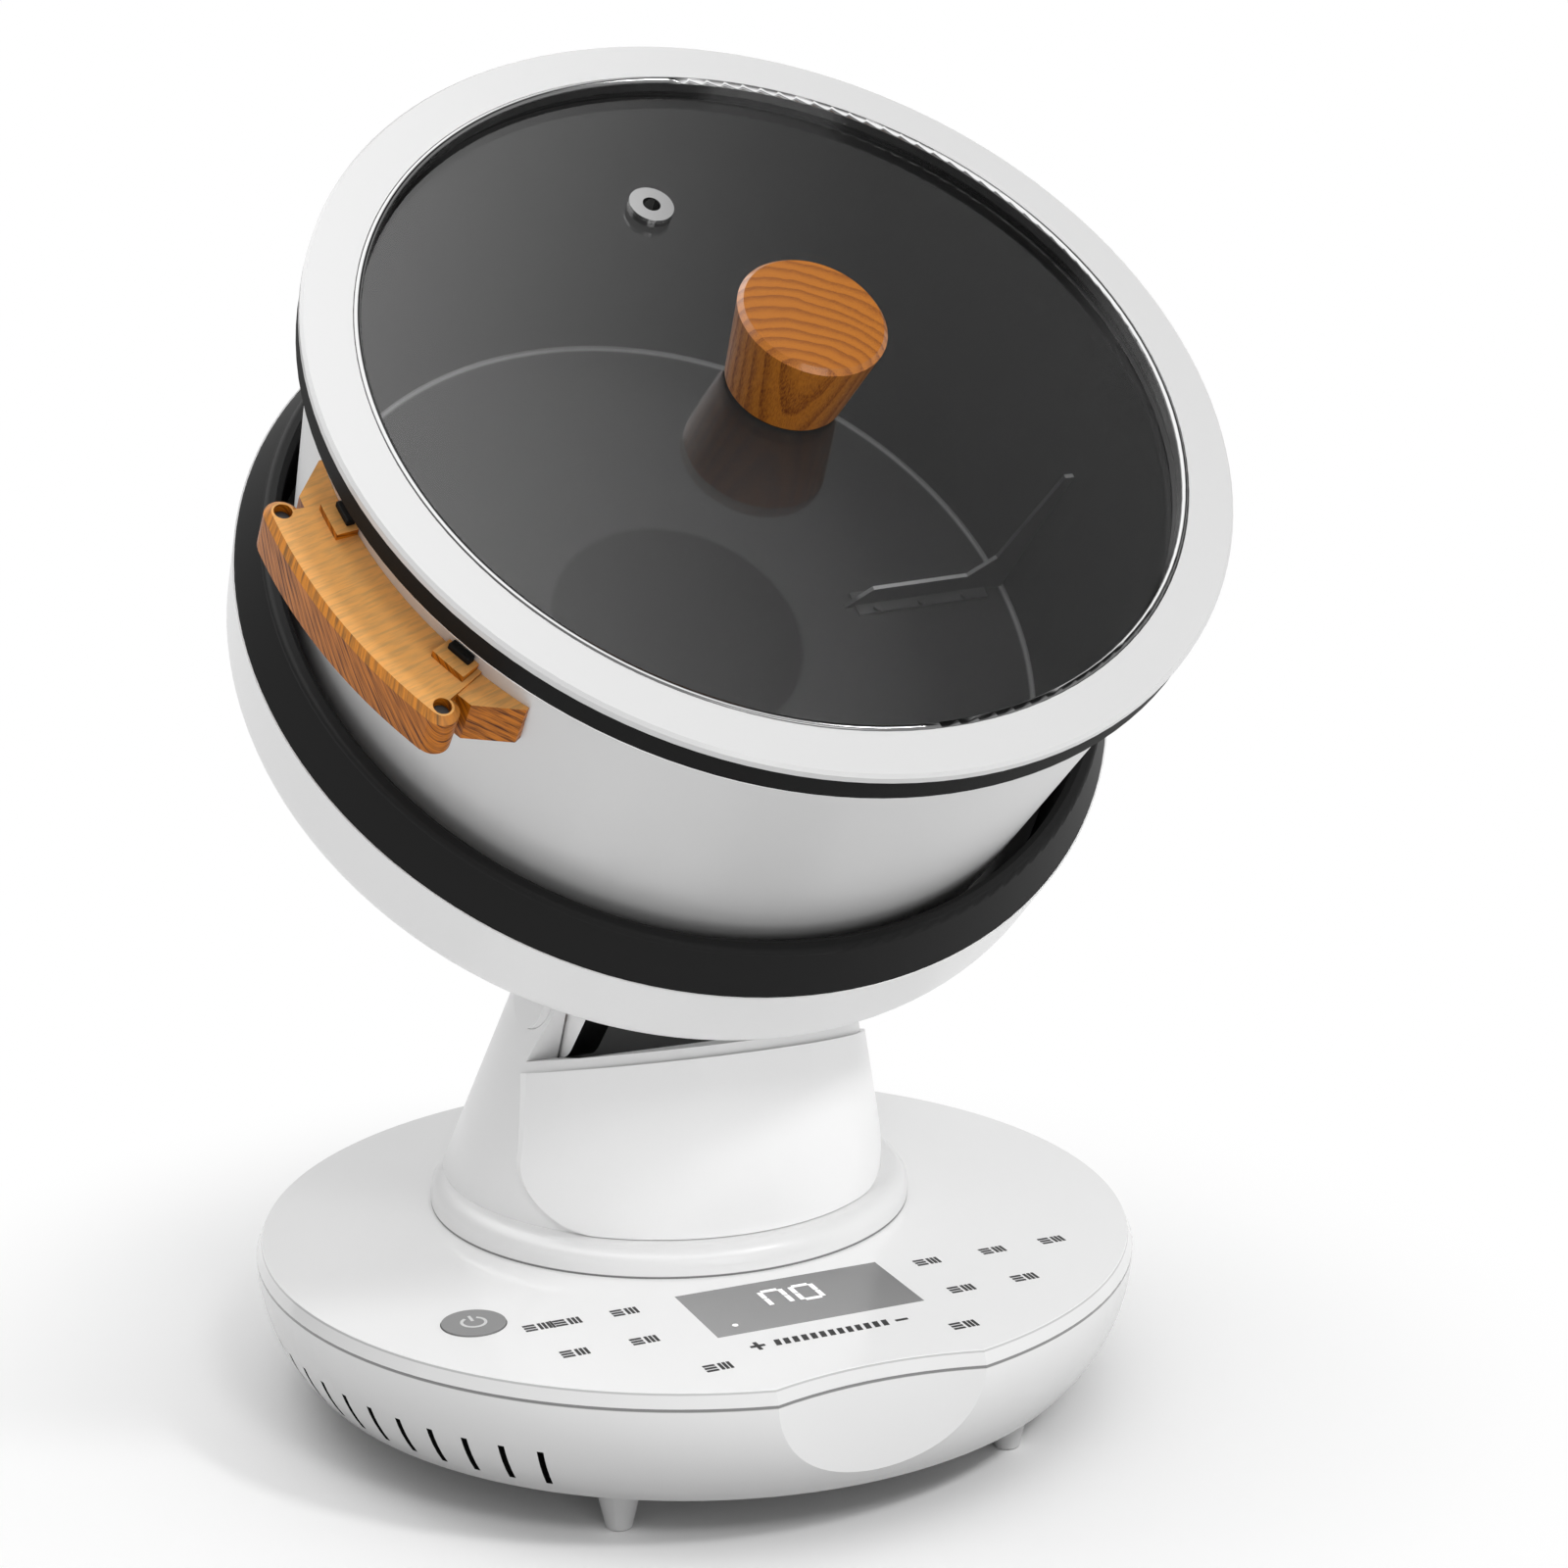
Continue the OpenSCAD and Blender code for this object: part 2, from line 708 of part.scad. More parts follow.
module mains_inlet() {
    corner = [-inlet_w / 2, inlet_y - inlet_deep, inlet_z - inlet_h / 2];
    color(black_plastic) translate(corner) difference() {
        cube([inlet_w, inlet_deep, inlet_h]);
        translate([inlet_wall, inlet_wall, inlet_wall])
            cube([inlet_w - 2 * inlet_wall, inlet_deep, inlet_h - 2 * inlet_wall]);
    }
}
module inlet_pins() {
    pin = [2, 11, 4];
    color(steel) for (p = [[-7, -2], [7, -2], [0, 2]])
        translate([p[0] - pin[0] / 2, inlet_y - inlet_deep + inlet_wall, inlet_z + p[1] - pin[2] / 2])
            cube(pin);
}

// Column

module column_cone(inset) {
    translate([0, 0, -column_r * tan(column_lean) - 10])
        cylinder(r1 = column_r - inset + (column_r * tan(column_lean) + 10) * column_slope,
                 r2 = column_r - inset - column_top * column_slope,
                 h = column_top + column_r * tan(column_lean) + 10, $fn = 180);
}
module column_outer(inset) {
    intersection() {
        column_frame() column_cone(inset);
        translate([0, collar_back, panel_z])
            cylinder(r = column_foot_r - inset, h = column_top + column_r, $fn = 180);
    }
}
module cap_place(side, h) {
    column_frame() translate([side * cheek_r, 0, pivot_s]) rotate([0, side * (90 - column_taper), 0])
        translate([0, 0, -cap_sink]) cylinder(d = h[1], h = h[0]);
}
// Height of the lip's top, which rises towards the front
function lip_z(y) = fork_z + lip_h - (y - lip_front) * lip_slope;
// A block across the machine, from its outline seen from the side
module across(points, width) {
    rotate([90, 0, 90]) translate([0, 0, -width / 2]) linear_extrude(width) polygon(points);
}
// Space inside the column, under the fork's floor and the lip
module column_hollow() {
    low = panel_z + column_flange_t;
    lip_wall = lip_back - fork_floor_t;
    intersection() {
        column_outer(column_wall);
        across([[base_r, low], [base_r, fork_z - fork_floor_t], [lip_wall, fork_z - fork_floor_t],
                [lip_wall, lip_z(lip_wall) - fork_floor_t], [-base_r, lip_z(-base_r) - fork_floor_t],
                [-base_r, low]], 2 * base_r);
    }
}
// Space between the cheeks, behind the lip
module fork_slot() {
    over_lip = lip_z(lip_back) + 2 * lip_h;
    across([[base_r, fork_z], [lip_back, fork_z], [lip_back, over_lip], [-base_r, over_lip + base_r],
            [-base_r, fork_sky], [base_r, fork_sky]], fork_w);
}
// Space over the lip, in front of the cheeks' leaning edges
module fork_notch() {
    lean = tan(cheek_lean);
    corner = (cheek_foot - lean * (lip_h + lip_front * lip_slope)) / (1 - lean * lip_slope);
    across([[corner, lip_z(corner)], [-base_r, lip_z(-base_r)], [-base_r, fork_sky],
            [cheek_foot - lean * (fork_sky - fork_z), fork_sky]], 2 * base_r);
}
module column_shell() {
    color(white_plastic) difference() {
        difference() {
            column_outer(0);
            fork_notch();
        }
        column_hollow();
        translate([0, column_back, panel_z - 1])
            cylinder(r = column_r - column_wall - column_flange_in, h = column_flange_t + 2);
        fork_slot();
        translate([-base_r, pivot_y, pivot_z]) rotate([0, 90, 0]) cylinder(d = axle_d, h = 2 * base_r);
        for (side = [-1, 1]) cap_place(side, [cap_h + 6, cap_d + 2 * rest_gap]);
        translate([0, column_back, panel_z - 1]) around(column_boss_angles, column_boss_r)
            cylinder(d = screw_d, h = column_flange_t + 2);
    }
}
module column_collar() {
    color(white_plastic) difference() {
        translate([0, collar_back, panel_z]) rotate_extrude($fn = 180) {
            square([collar_d / 2 - collar_round, collar_h]);
            square([collar_d / 2, collar_h - collar_round]);
            translate([collar_d / 2 - collar_round, collar_h - collar_round]) circle(r = collar_round);
        }
        column_outer(-fine);
        translate([0, collar_back, panel_z - collar_round]) cylinder(d = collar_d, h = collar_round);
    }
}
module apron_outline() {
    low = panel_z + collar_h + slack;
    rise = lip_z(-base_r) - low - apron_corner;
    half_top = apron_w / 2 - rise * tan(apron_taper);
    translate([0, low + apron_corner])
        polygon([[-apron_w / 2, 0], [apron_w / 2, 0], [half_top, rise], [-half_top, rise]]);
    translate([-apron_w / 2 + apron_corner, low]) square([apron_w - 2 * apron_corner, apron_corner]);
    for (side = [-1, 1]) translate([side * (apron_w / 2 - apron_corner), low + apron_corner])
        circle(r = apron_corner);
}
module column_apron() {
    color("white") difference() {
        intersection() {
            column_outer(-apron_t);
            translate([0, pivot_y, 0]) rotate([90, 0, 0]) linear_extrude(base_r) apron_outline();
        }
        column_outer(-fine);
        across([[base_r, lip_z(base_r) - lip_band], [-base_r, lip_z(-base_r) - lip_band],
                [-base_r, fork_sky], [base_r, fork_sky]], 2 * base_r);
    }
}
module column_screws() {
    color(steel) translate([0, column_back, cover_under]) around(column_boss_angles, column_boss_r)
        screw(screw_d, base_wall + column_flange_t, screw_head_d, screw_head_h);
}
module tilt_axle() {
    length = 2 * (cheek_r - cap_sink - 3);
    color(steel) translate([-length / 2, pivot_y, pivot_z])
        rotate([0, 90, 0]) cylinder(d = axle_d, h = length);
}
module pivot_caps() {
    color("lightgray") for (side = [-1, 1]) cap_place(side, [cap_h, cap_d]);
}
module friction_washers() {
    color("saddlebrown") for (side = [0, 1]) mirror([side, 0, 0])
        translate([fork_w / 2 - washer_t, pivot_y, pivot_z]) rotate([0, 90, 0])
            tube(washer_d / 2, axle_d / 2, washer_t);
}

// Tilting head

// Half section of the dish with its motor housing, set in by a wall
module dish_profile(inset) {
    low = -dish_h + inset;
    corner = dish_corner - inset;
    polygon([[0, 0], [dish_r - inset, 0], [dish_corner_r + corner, low + corner],
             [dish_corner_r, low + corner], [dish_corner_r, low], [0, low]]);
    translate([dish_corner_r, low + corner]) circle(r = corner);
}
module motor_cover_profile(inset, rise) {
    low = -dish_h - motor_cover_h + inset;
    side = motor_cover_r - inset;
    corner = motor_cover_corner - inset;
    translate([0, low + corner]) square([side, -dish_h + rise - low - corner]);
    translate([0, low]) square([side - corner, corner]);
    translate([side - corner, low + corner]) circle(r = corner);
}
module yoke_bolt_places() {
    for (x = [-1, 1], w = [yoke_bolt_low, yoke_bolt_high]) translate([x * yoke_bolt_x, w, 0]) children();
}
module head_shell() {
    color(white_plastic) head_frame() difference() {
        rotate_extrude($fn = 180) dish_profile(0);
        rotate_extrude($fn = 180) dish_profile(dish_wall);
        translate([0, 0, -fine]) cylinder(r = dish_r - dish_wall, h = 1);
        translate([0, 0, -dish_h - 1]) cylinder(r = motor_cover_r - dish_wall, h = dish_wall + 2);
        yoke_bolt_places() translate([0, 0, -dish_h - 1])
            cylinder(d = yoke_bolt_d + slack, h = dish_wall + 2);
    }
}
module motor_cover() {
    color(white_plastic) head_frame() rotate_extrude($fn = 180) difference() {
        motor_cover_profile(0, 0);
        motor_cover_profile(dish_wall, 1);
    }
}
module bezel_ring() {
    ledge_low = deck_under - 2.6;
    lip_z = bezel_h - bezel_round;
    color(black_plastic) head_frame() rotate_extrude($fn = 180) {
        polygon([[dish_r - 0.5, 0], [bezel_lip_r + bezel_round, lip_z], [bezel_lip_r, bezel_h],
                 [well_r + bezel_round, bezel_h], [well_r, lip_z], [well_r, deck_under],
                 [well_r - bezel_ledge, deck_under], [well_r - bezel_ledge, ledge_low],
                 [well_r + bezel_wall, ledge_low], [well_r + bezel_wall, -bezel_spigot],
                 [dish_r - dish_wall - slack, -bezel_spigot], [dish_r - dish_wall - slack, 0]]);
        translate([bezel_lip_r, lip_z]) circle(r = bezel_round);
    }
}
module deck_plate() {
    color([0.1, 0.1, 0.1]) head_frame() ring(deck_hole_r, well_r - slack, deck_under, deck_top);
}
module heating_coil() {
    low = tray_under + tray_t;
    color("chocolate") head_frame() ring(coil_in, coil_out, low, low + coil_t);
}
module coil_tray() {
    color("dimgray") head_frame() {
        ring(coil_in - 3, coil_out + 4, tray_under, tray_under + tray_t);
        around([45, 135, 225, 315], tray_leg_r)
            translate([0, 0, dish_floor]) cylinder(d = tray_leg_d, h = tray_under - dish_floor);
    }
}
module motor_bracket() {
    color(steel) head_frame() difference() {
        translate([0, 0, dish_floor]) cylinder(r = bracket_r, h = bracket_t);
        translate([0, 0, dish_floor - 1]) cylinder(r = bush_out, h = bracket_t + 2);
        yoke_bolt_places() translate([0, 0, dish_floor - 1])
            cylinder(d = yoke_bolt_head_d + 2, h = bracket_t + 2);
    }
}
module gear_motor() {
    color("slategray") head_frame() translate([0, gear_centre, motor_floor]) difference() {
        union() {
            translate([0, 0, motor_foot_t])
                cylinder(d = motor_d, h = motor_top - motor_floor - motor_foot_t);
            translate([-motor_d / 2 - motor_ear, -motor_foot_w / 2, 0])
                cube([motor_d + 2 * motor_ear, motor_foot_w, motor_foot_t]);
        }
        translate([0, 0, motor_top - motor_floor - motor_shaft_in])
            cylinder(r = motor_shaft_d / 2 + run_gap, h = motor_shaft_in + 1);
    }
}
module hub_bush() {
    color("darkgoldenrod") head_frame() {
        ring(hub_shaft_d / 2 + run_gap, bush_out, dish_floor - 4, hub_plate_under - rest_gap);
        ring(bush_out, bush_out + 3, bracket_top, bracket_top + bush_collar);
    }
}
module temperature_sensor() {
    color("gainsboro") head_frame() {
        translate([0, 0, motor_floor]) cylinder(d = sensor_d, h = pot_under - rest_gap - motor_floor);
        translate([0, 0, pot_under - rest_gap - sensor_head_h])
            cylinder(d = sensor_head_d, h = sensor_head_h);
    }
}
module tilt_yoke() {
    plate_low = -dish_h - yoke_plate_t;
    color("lightgray") head_frame() difference() {
        union() {
            for (side = [0, 1]) mirror([side, 0, 0]) {
                translate([lug_in, pivot_w, pivot_t]) rotate([0, 90, 0]) cylinder(d = lug_d, h = lug_t);
                translate([lug_in, pivot_w - lug_d / 2, pivot_t]) cube([lug_t, lug_d, -dish_h - pivot_t]);
            }
            translate([-lug_out - yoke_plate_side, pivot_w - lug_d / 2, plate_low])
                cube([2 * (lug_out + yoke_plate_side), lug_d, yoke_plate_t]);
        }
        translate([0, 0, plate_low - lug_d])
            cylinder(r = motor_cover_r + slack, h = lug_d + yoke_plate_t + 1);
        translate([-base_r, pivot_w, pivot_t]) rotate([0, 90, 0])
            cylinder(r = axle_d / 2 + run_gap + bush_wall, h = 2 * base_r);
        yoke_bolt_places() translate([0, 0, plate_low - 1])
            cylinder(d = yoke_bolt_d + slack, h = yoke_plate_t + 2);
    }
}
module yoke_bushes() {
    color("darkgoldenrod") head_frame() for (side = [0, 1]) mirror([side, 0, 0])
        translate([lug_in, pivot_w, pivot_t]) rotate([0, 90, 0])
            tube(axle_d / 2 + run_gap + bush_wall, axle_d / 2 + run_gap, lug_t);
}
module yoke_bolts() {
    color(steel) head_frame() yoke_bolt_places() {
        translate([0, 0, -dish_h - yoke_plate_t])
            screw(yoke_bolt_d, yoke_plate_t + dish_wall + 4, yoke_bolt_head_d, yoke_bolt_head_h);
        translate([0, 0, dish_floor]) tube(yoke_bolt_head_d / 2, yoke_bolt_d / 2, 3);
    }
}

// Pot drive

module gear_outline(teeth) {
    pitch_r = teeth * gear_module / 2;
    base = pitch_r * cos(pressure_angle);
    tip = pitch_r + gear_module;
    root = pitch_r - 1.25 * gear_module;
    roll_pitch = sqrt(pow(pitch_r / base, 2) - 1) * 180 / PI;
    roll_tip = sqrt(pow(tip / base, 2) - 1) * 180 / PI;
    half_tooth = 90 / teeth - gear_backlash / pitch_r * 180 / PI + roll_pitch - pressure_angle;
    flank = [for (i = [0 : 4]) turn(involute(base, roll_tip * i / 4), -half_tooth)];
    foot = [root * cos(half_tooth), -root * sin(half_tooth)];
    side = root < base ? concat([foot], flank) : flank;
    last = len(side) - 1;
    tooth = concat(side, [for (i = [0 : last]) [side[last - i][0], -side[last - i][1]]]);
    polygon([for (k = [0 : teeth - 1], p = tooth) turn(p, k * 360 / teeth)]);
}
module drive_hub() {
    color("silver") head_frame() difference() {
        union() {
            translate([0, 0, hub_plate_under]) cylinder(r = hub_r, h = hub_plate_t);
            translate([0, 0, gear_top - gear_t])
                cylinder(d = hub_shaft_d, h = hub_plate_under - gear_top + gear_t);
        }
        translate([0, 0, gear_top - gear_t - 1])
            cylinder(d = sensor_d + 2, h = hub_top - gear_top + gear_t + 2);
    }
}
module hub_gear() {
    color("ivory") head_frame() translate([0, 0, gear_top - gear_t]) difference() {
        linear_extrude(gear_t) rotate(90) gear_outline(hub_teeth);
        translate([0, 0, -1]) cylinder(d = hub_shaft_d, h = gear_t + 2);
    }
}
module drive_dogs() {
    color("silver") head_frame() for (i = [0 : dog_count - 1])
        rotate(i * 360 / dog_count) translate([dog_circle_r, 0, hub_top])
            cylinder(d = dog_d, h = coupling_t - 0.5);
}
module motor_pinion() {
    color("ivory") head_frame() translate([0, gear_centre, 0]) {
        translate([0, 0, gear_top - gear_t - 1])
            linear_extrude(gear_t + 2) rotate(90 + 180 / pinion_teeth) gear_outline(pinion_teeth);
        translate([0, 0, motor_top - motor_shaft_in + 1])
            cylinder(d = motor_shaft_d, h = gear_top - gear_t - motor_top + motor_shaft_in - 1);
    }
}

// Pot

module pan_profile() {
    under = -floor_drop - pan_floor;
    foot = pot_floor_r + pan_wall;
    polygon([[0, under], [foot - pan_fillet, under], [foot, under + pan_fillet],
             [pot_inner(pan_top) + pan_wall, pan_top], [pot_inner(pan_top), pan_top],
             [pot_floor_r, -floor_drop], [0, -floor_drop]]);
}
module pot_pan() {
    color([0.25, 0.25, 0.26]) head_frame() rotate_extrude($fn = 180) pan_profile();
}
module pot_jacket() {
    low = -floor_drop - pan_floor + pan_fillet;
    color("silver") head_frame() rotate_extrude($fn = 180)
        polygon([[pot_inner(low) + pan_wall + fine, low], [pot_outer(low), low],
                 [pot_outer(pan_top), pan_top], [pot_inner(pan_top) + pan_wall + fine, pan_top]]);
}
module pot_bead() {
    color("white") head_frame() rotate_extrude($fn = 180) {
        translate([pot_inner(pan_top), pan_top]) square([bead_r - bead_h / 2 - pot_inner(pan_top), bead_h]);
        translate([bead_r - bead_h / 2, pan_top + bead_h / 2]) circle(d = bead_h);
    }
}
module pot_coupling() {
    color("gray") head_frame() difference() {
        translate([0, 0, pot_under - coupling_t]) cylinder(r = hub_r, h = coupling_t);
        translate([0, 0, pot_under - coupling_t - 1]) cylinder(d = sensor_head_d + 4, h = coupling_t + 2);
        for (i = [0 : dog_count - 1]) rotate(i * 360 / dog_count)
            translate([dog_circle_r, 0, pot_under - coupling_t - 1])
                cylinder(r = dog_d / 2 + dog_gap, h = coupling_t + 2);
    }
}
module stir_fin() {
    low = -floor_drop;
    top = low + fin_climb;
    wall_low = pot_floor_r - slack;
    color("gray") head_frame() rotate(fin_angle) {
        rotate([90, 0, 0]) translate([0, 0, -fin_t / 2]) linear_extrude(fin_t)
            polygon([[fin_inner, low], [wall_low, low], [pot_inner(top) - slack, top],
                     [pot_inner(top) - slack - fin_h * 0.4, top], [wall_low - fin_h, low + 2 * fin_h],
                     [wall_low - 2 * fin_h, low + fin_h], [fin_inner + fin_h, low + fin_h]]);
        translate([fin_inner + 4, -fin_foot_w / 2, low])
            cube([wall_low - fin_inner - 12, fin_foot_w, fin_foot_t]);
    }
}
module fin_rivets() {
    color("gray") head_frame() rotate(fin_angle)
        for (i = [0 : 2], side = [-1, 1])
            translate([fin_inner + 12 + i * (pot_floor_r - fin_inner - 30) / 2,
                       side * (fin_t / 2 + rivet_d / 2 + 0.2), fin_foot_t - floor_drop])
                cylinder(d = rivet_d - 2, h = rivet_h);
}
// Half section of a handle's round end, measured from the middle of its screw
module grip_end_half() {
    half = grip_w / 2 - end_step;
    low = grip_bottom + end_step;
    high = grip_top - end_step;
    c = grip_chamfer;
    polygon([[0, low], [half - c, low], [half, low + c], [half, high - c], [half - c, high], [0, high]]);
}
// Section of the whole handle, flat on top from the pot's wall to its outer edge
module grip_profile() {
    c = grip_chamfer;
    polygon([[pot_outer(grip_bottom) + fine, grip_bottom], [grip_outer - c, grip_bottom],
             [grip_outer, grip_bottom + c], [grip_outer, grip_top - c], [grip_outer - c, grip_top],
             [pot_outer(grip_top) + fine, grip_top]]);
}
// Angles of a grip's two ends, counted from the pot's own X axis
function grip_from(turned) = grip_angle - 90 - grip_span / 2 + turned;
function grip_to(turned) = grip_angle - 90 + grip_span / 2 + turned;
module grip_ends(turned) {
    for (a = [grip_from(turned), grip_to(turned)]) rotate(a) translate([grip_mid, 0, 0]) children();
}
module grip(turned) {
    color(wood) head_frame() difference() {
        union() {
            rotate(grip_from(turned)) rotate_extrude(angle = grip_span, $fn = 180) grip_profile();
            rotate(grip_to(turned)) translate([grip_mid, 0, 0]) rotate(-5)
                rotate_extrude(angle = 190) grip_end_half();
            rotate(grip_from(turned)) translate([grip_mid, 0, 0]) rotate(175)
                rotate_extrude(angle = 190) grip_end_half();
        }
        grip_ends(turned) translate([0, 0, grip_bottom - 1]) cylinder(d = grip_hole_d, h = grip_h + 2);
    }
}
// Wedge past one end of a handle, beside the pot's wall, and the boss on the handle's top at that end
module end_block(side) {
    low = grip_bottom + block_inset;
    high = grip_top - block_inset;
    intersection() {
        rotate(side > 0 ? 0 : -wedge_turn) rotate_extrude(angle = wedge_turn, $fn = 180)
            polygon([[pot_outer(low) + fine, low], [grip_inner, low], [grip_inner, high],
                     [pot_outer(high) + fine, high]]);
        linear_extrude(mouth_t)
            polygon([[pot_floor_r, 0], [grip_inner - block_gap, 0],
                     [grip_inner - block_gap, side * wedge_l * 0.3],
                     [pot_outer(low) + block_gap, side * wedge_l], [pot_floor_r, side * wedge_l]]);
    }
    rotate(side > 0 ? -boss_turn - boss_in : boss_in) rotate_extrude(angle = boss_turn, $fn = 180)
        translate([pot_outer(grip_top + boss_h) + fine, grip_top]) square([boss_w, boss_h]);
}
module blocks(turned) {
    color(wood) head_frame() {
        rotate(grip_to(turned)) end_block(1);
        rotate(grip_from(turned)) end_block(-1);
    }
}
module left_grip() {
    grip(0);
}
module right_grip() {
    grip(180);
}
module left_blocks() {
    blocks(0);
}
module right_blocks() {
    blocks(180);
}
module grip_screws() {
    color(steel) head_frame() for (turned = [0, 180]) grip_ends(turned)
        translate([0, 0, grip_bottom]) cylinder(d = grip_screw_d, h = grip_h - 3);
}

// Lid

module lid_glass() {
    color([0.3, 0.3, 0.32, 0.6]) head_frame() difference() {
        translate([0, 0, glass_top - glass_t]) cylinder(r = glass_r, h = glass_t, $fn = 180);
        translate([0, 0, glass_top - glass_t - 1]) cylinder(d = knob_screw_d + slack, h = glass_t + 2);
        rotate(vent_eye_at - 90) translate([vent_eye_r, 0, glass_top - glass_t - 1])
            cylinder(d = eye_tube_d + slack, h = glass_t + 2);
    }
}
module lid_rim() {
    high = seal_top + rim_h;
    color("white") head_frame() rotate_extrude($fn = 180)
        polygon([[rim_inner_d / 2, seal_top], [rim_r - 0.6, seal_top], [rim_r, seal_top + 0.8],
                 [rim_r, high - 1], [rim_r - 1, high], [rim_inner_d / 2, high]]);
}
module lid_trim() {
    color(steel) head_frame() rotate_extrude($fn = 180) {
        translate([rim_inner_d / 2 - trim_w, seal_top]) square([trim_w, rim_h + trim_over - trim_w / 2]);
        translate([rim_inner_d / 2 - trim_w / 2, seal_top + rim_h + trim_over - trim_w / 2])
            circle(d = trim_w);
    }
}
module lid_seal() {
    color(black_plastic) head_frame() rotate_extrude($fn = 180) {
        translate([glass_r + slack, seal_bottom]) square([seal_r - glass_r - slack, seal_h]);
        translate([glass_r - seal_lip_w, seal_bottom]) square([seal_lip_w + 1, seal_h - glass_t - 0.1]);
    }
}
module lid_knob() {
    low = glass_top + knob_washer_t;
    high = low + knob_h;
    color(wood) head_frame() difference() {
        rotate_extrude() polygon([[0, low], [knob_foot_d / 2, low], [knob_top_d / 2, high - knob_bevel],
                                  [knob_top_d / 2 - knob_bevel, high], [0, high]]);
        translate([0, 0, low - 1]) cylinder(d = knob_screw_d, h = knob_screw_up + 1);
    }
}
module knob_washer() {
    color(steel) head_frame() translate([0, 0, glass_top])
        tube(knob_washer_d / 2, knob_screw_d / 2, knob_washer_t);
}
module knob_screw() {
    color(steel) head_frame() translate([0, 0, glass_top - glass_t])
        screw(knob_screw_d, glass_t + knob_washer_t + knob_screw_up, knob_screw_head_d, knob_screw_head_h);
}
module steam_eyelet() {
    color(steel) head_frame() rotate(vent_eye_at - 90) translate([vent_eye_r, 0, 0]) {
        ring(eye_hole_d / 2, vent_eye_d / 2, glass_top, glass_top + eye_flange_t);
        ring(eye_hole_d / 2, eye_tube_d / 2, glass_top - glass_t, glass_top);
    }
}

base_shell();
base_plate();
feet();
base_screws();
control_panel();
display_window();
display_module();
panel_board();
key_switch();
power_key();
main_board();
power_stage();
fan_frame();
fan_rotor();
mains_inlet();
inlet_pins();
column_shell();
column_collar();
column_apron();
column_screws();
tilt_axle();
pivot_caps();
friction_washers();
head_shell();
motor_cover();
bezel_ring();
deck_plate();
heating_coil();
coil_tray();
motor_bracket();
gear_motor();
hub_bush();
temperature_sensor();
tilt_yoke();
yoke_bushes();
yoke_bolts();
drive_hub();
hub_gear();
drive_dogs();
motor_pinion();
pot_pan();
pot_jacket();
pot_bead();
pot_coupling();
stir_fin();
fin_rivets();
left_grip();
right_grip();
left_blocks();
right_blocks();
grip_screws();
lid_glass();
lid_rim();
lid_trim();
lid_seal();
lid_knob();
knob_washer();
knob_screw();
steam_eyelet();
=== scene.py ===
# %% [markdown]
# An automatic stir fry machine, dressed in Blender over its CAD parts. The CAD solids already have the
# right shapes and sizes, so this file adds what CAD can't hold: finishes, the marks on the control
# panel, small brackets on the grips, light and a camera. Each step is one short cell.

# %% Load the CAD parts
import math

import bmesh
import bpy
from mathutils import Matrix, Vector


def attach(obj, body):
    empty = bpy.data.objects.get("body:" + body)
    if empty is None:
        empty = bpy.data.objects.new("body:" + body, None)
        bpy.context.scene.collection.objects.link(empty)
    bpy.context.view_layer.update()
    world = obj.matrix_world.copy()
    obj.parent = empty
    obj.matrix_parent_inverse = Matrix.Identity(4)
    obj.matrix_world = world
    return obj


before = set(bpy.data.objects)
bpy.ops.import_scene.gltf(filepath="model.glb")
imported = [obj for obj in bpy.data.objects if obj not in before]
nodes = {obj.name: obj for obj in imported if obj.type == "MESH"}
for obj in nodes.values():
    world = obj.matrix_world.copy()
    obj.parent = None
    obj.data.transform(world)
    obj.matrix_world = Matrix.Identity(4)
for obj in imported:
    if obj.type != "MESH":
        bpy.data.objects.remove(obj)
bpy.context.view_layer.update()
MM = 0.001

# %% [markdown]
# The pot, its lid and the ring round it all share one axis that leans 45 degrees forward. It is easier to
# think about those pieces in the head's own frame: x to the right, w up the slope, t along the axis. The
# frame's origin is the middle of the black ring's lower edge.

# %% The head's own frame
HEAD_TILT = math.radians(45)
HEAD_ORIGIN = Vector((0, 3.8, 277.7)) * MM
HEAD_FRAME = Matrix.Translation(HEAD_ORIGIN) @ Matrix.Rotation(HEAD_TILT, 4, "X")
HEAD_AXIS = HEAD_FRAME.to_3x3() @ Vector((0, 0, 1))
print("head axis", [round(v, 3) for v in HEAD_AXIS])

# %% [markdown]
# The camera stands a little to the left and slightly above the machine. A longer lens keeps the round
# shapes calm, as in a product picture. Its place was found by matching the circles of base, ring and lid.

# %% Camera
CAMERA_AZIMUTH = math.radians(-24.34)
CAMERA_ELEVATION = math.radians(11.55)
CAMERA_DISTANCE = 937.4 * MM
CAMERA_TARGET = Vector((34.5, 0, 213.4)) * MM
CAMERA_LENS, CAMERA_SENSOR = 60.75, 36
camera_back = Vector((math.sin(CAMERA_AZIMUTH) * math.cos(CAMERA_ELEVATION),
                      -math.cos(CAMERA_AZIMUTH) * math.cos(CAMERA_ELEVATION),
                      math.sin(CAMERA_ELEVATION)))
camera = bpy.data.objects.new("camera", bpy.data.cameras.new("camera"))
bpy.context.scene.collection.objects.link(camera)
camera.location = CAMERA_TARGET + camera_back * CAMERA_DISTANCE
camera.rotation_euler = (-camera_back).to_track_quat("-Z", "Y").to_euler()
camera.data.sensor_width, camera.data.lens = CAMERA_SENSOR, CAMERA_LENS
camera.data.clip_start, camera.data.clip_end = 0.01, 50
bpy.context.scene.camera = camera
bpy.context.scene.view_settings.view_transform = "Standard"
print("camera at", [round(v, 3) for v in camera.location])

# %% [markdown]
# Materials are built from shader nodes. A few small helpers keep the later cells readable. The first ones
# pick colours the way a screen shows them and turn them into the linear values that Blender works with,
# add a node with its inputs set or linked, and make a material with its Principled BSDF ready to use.

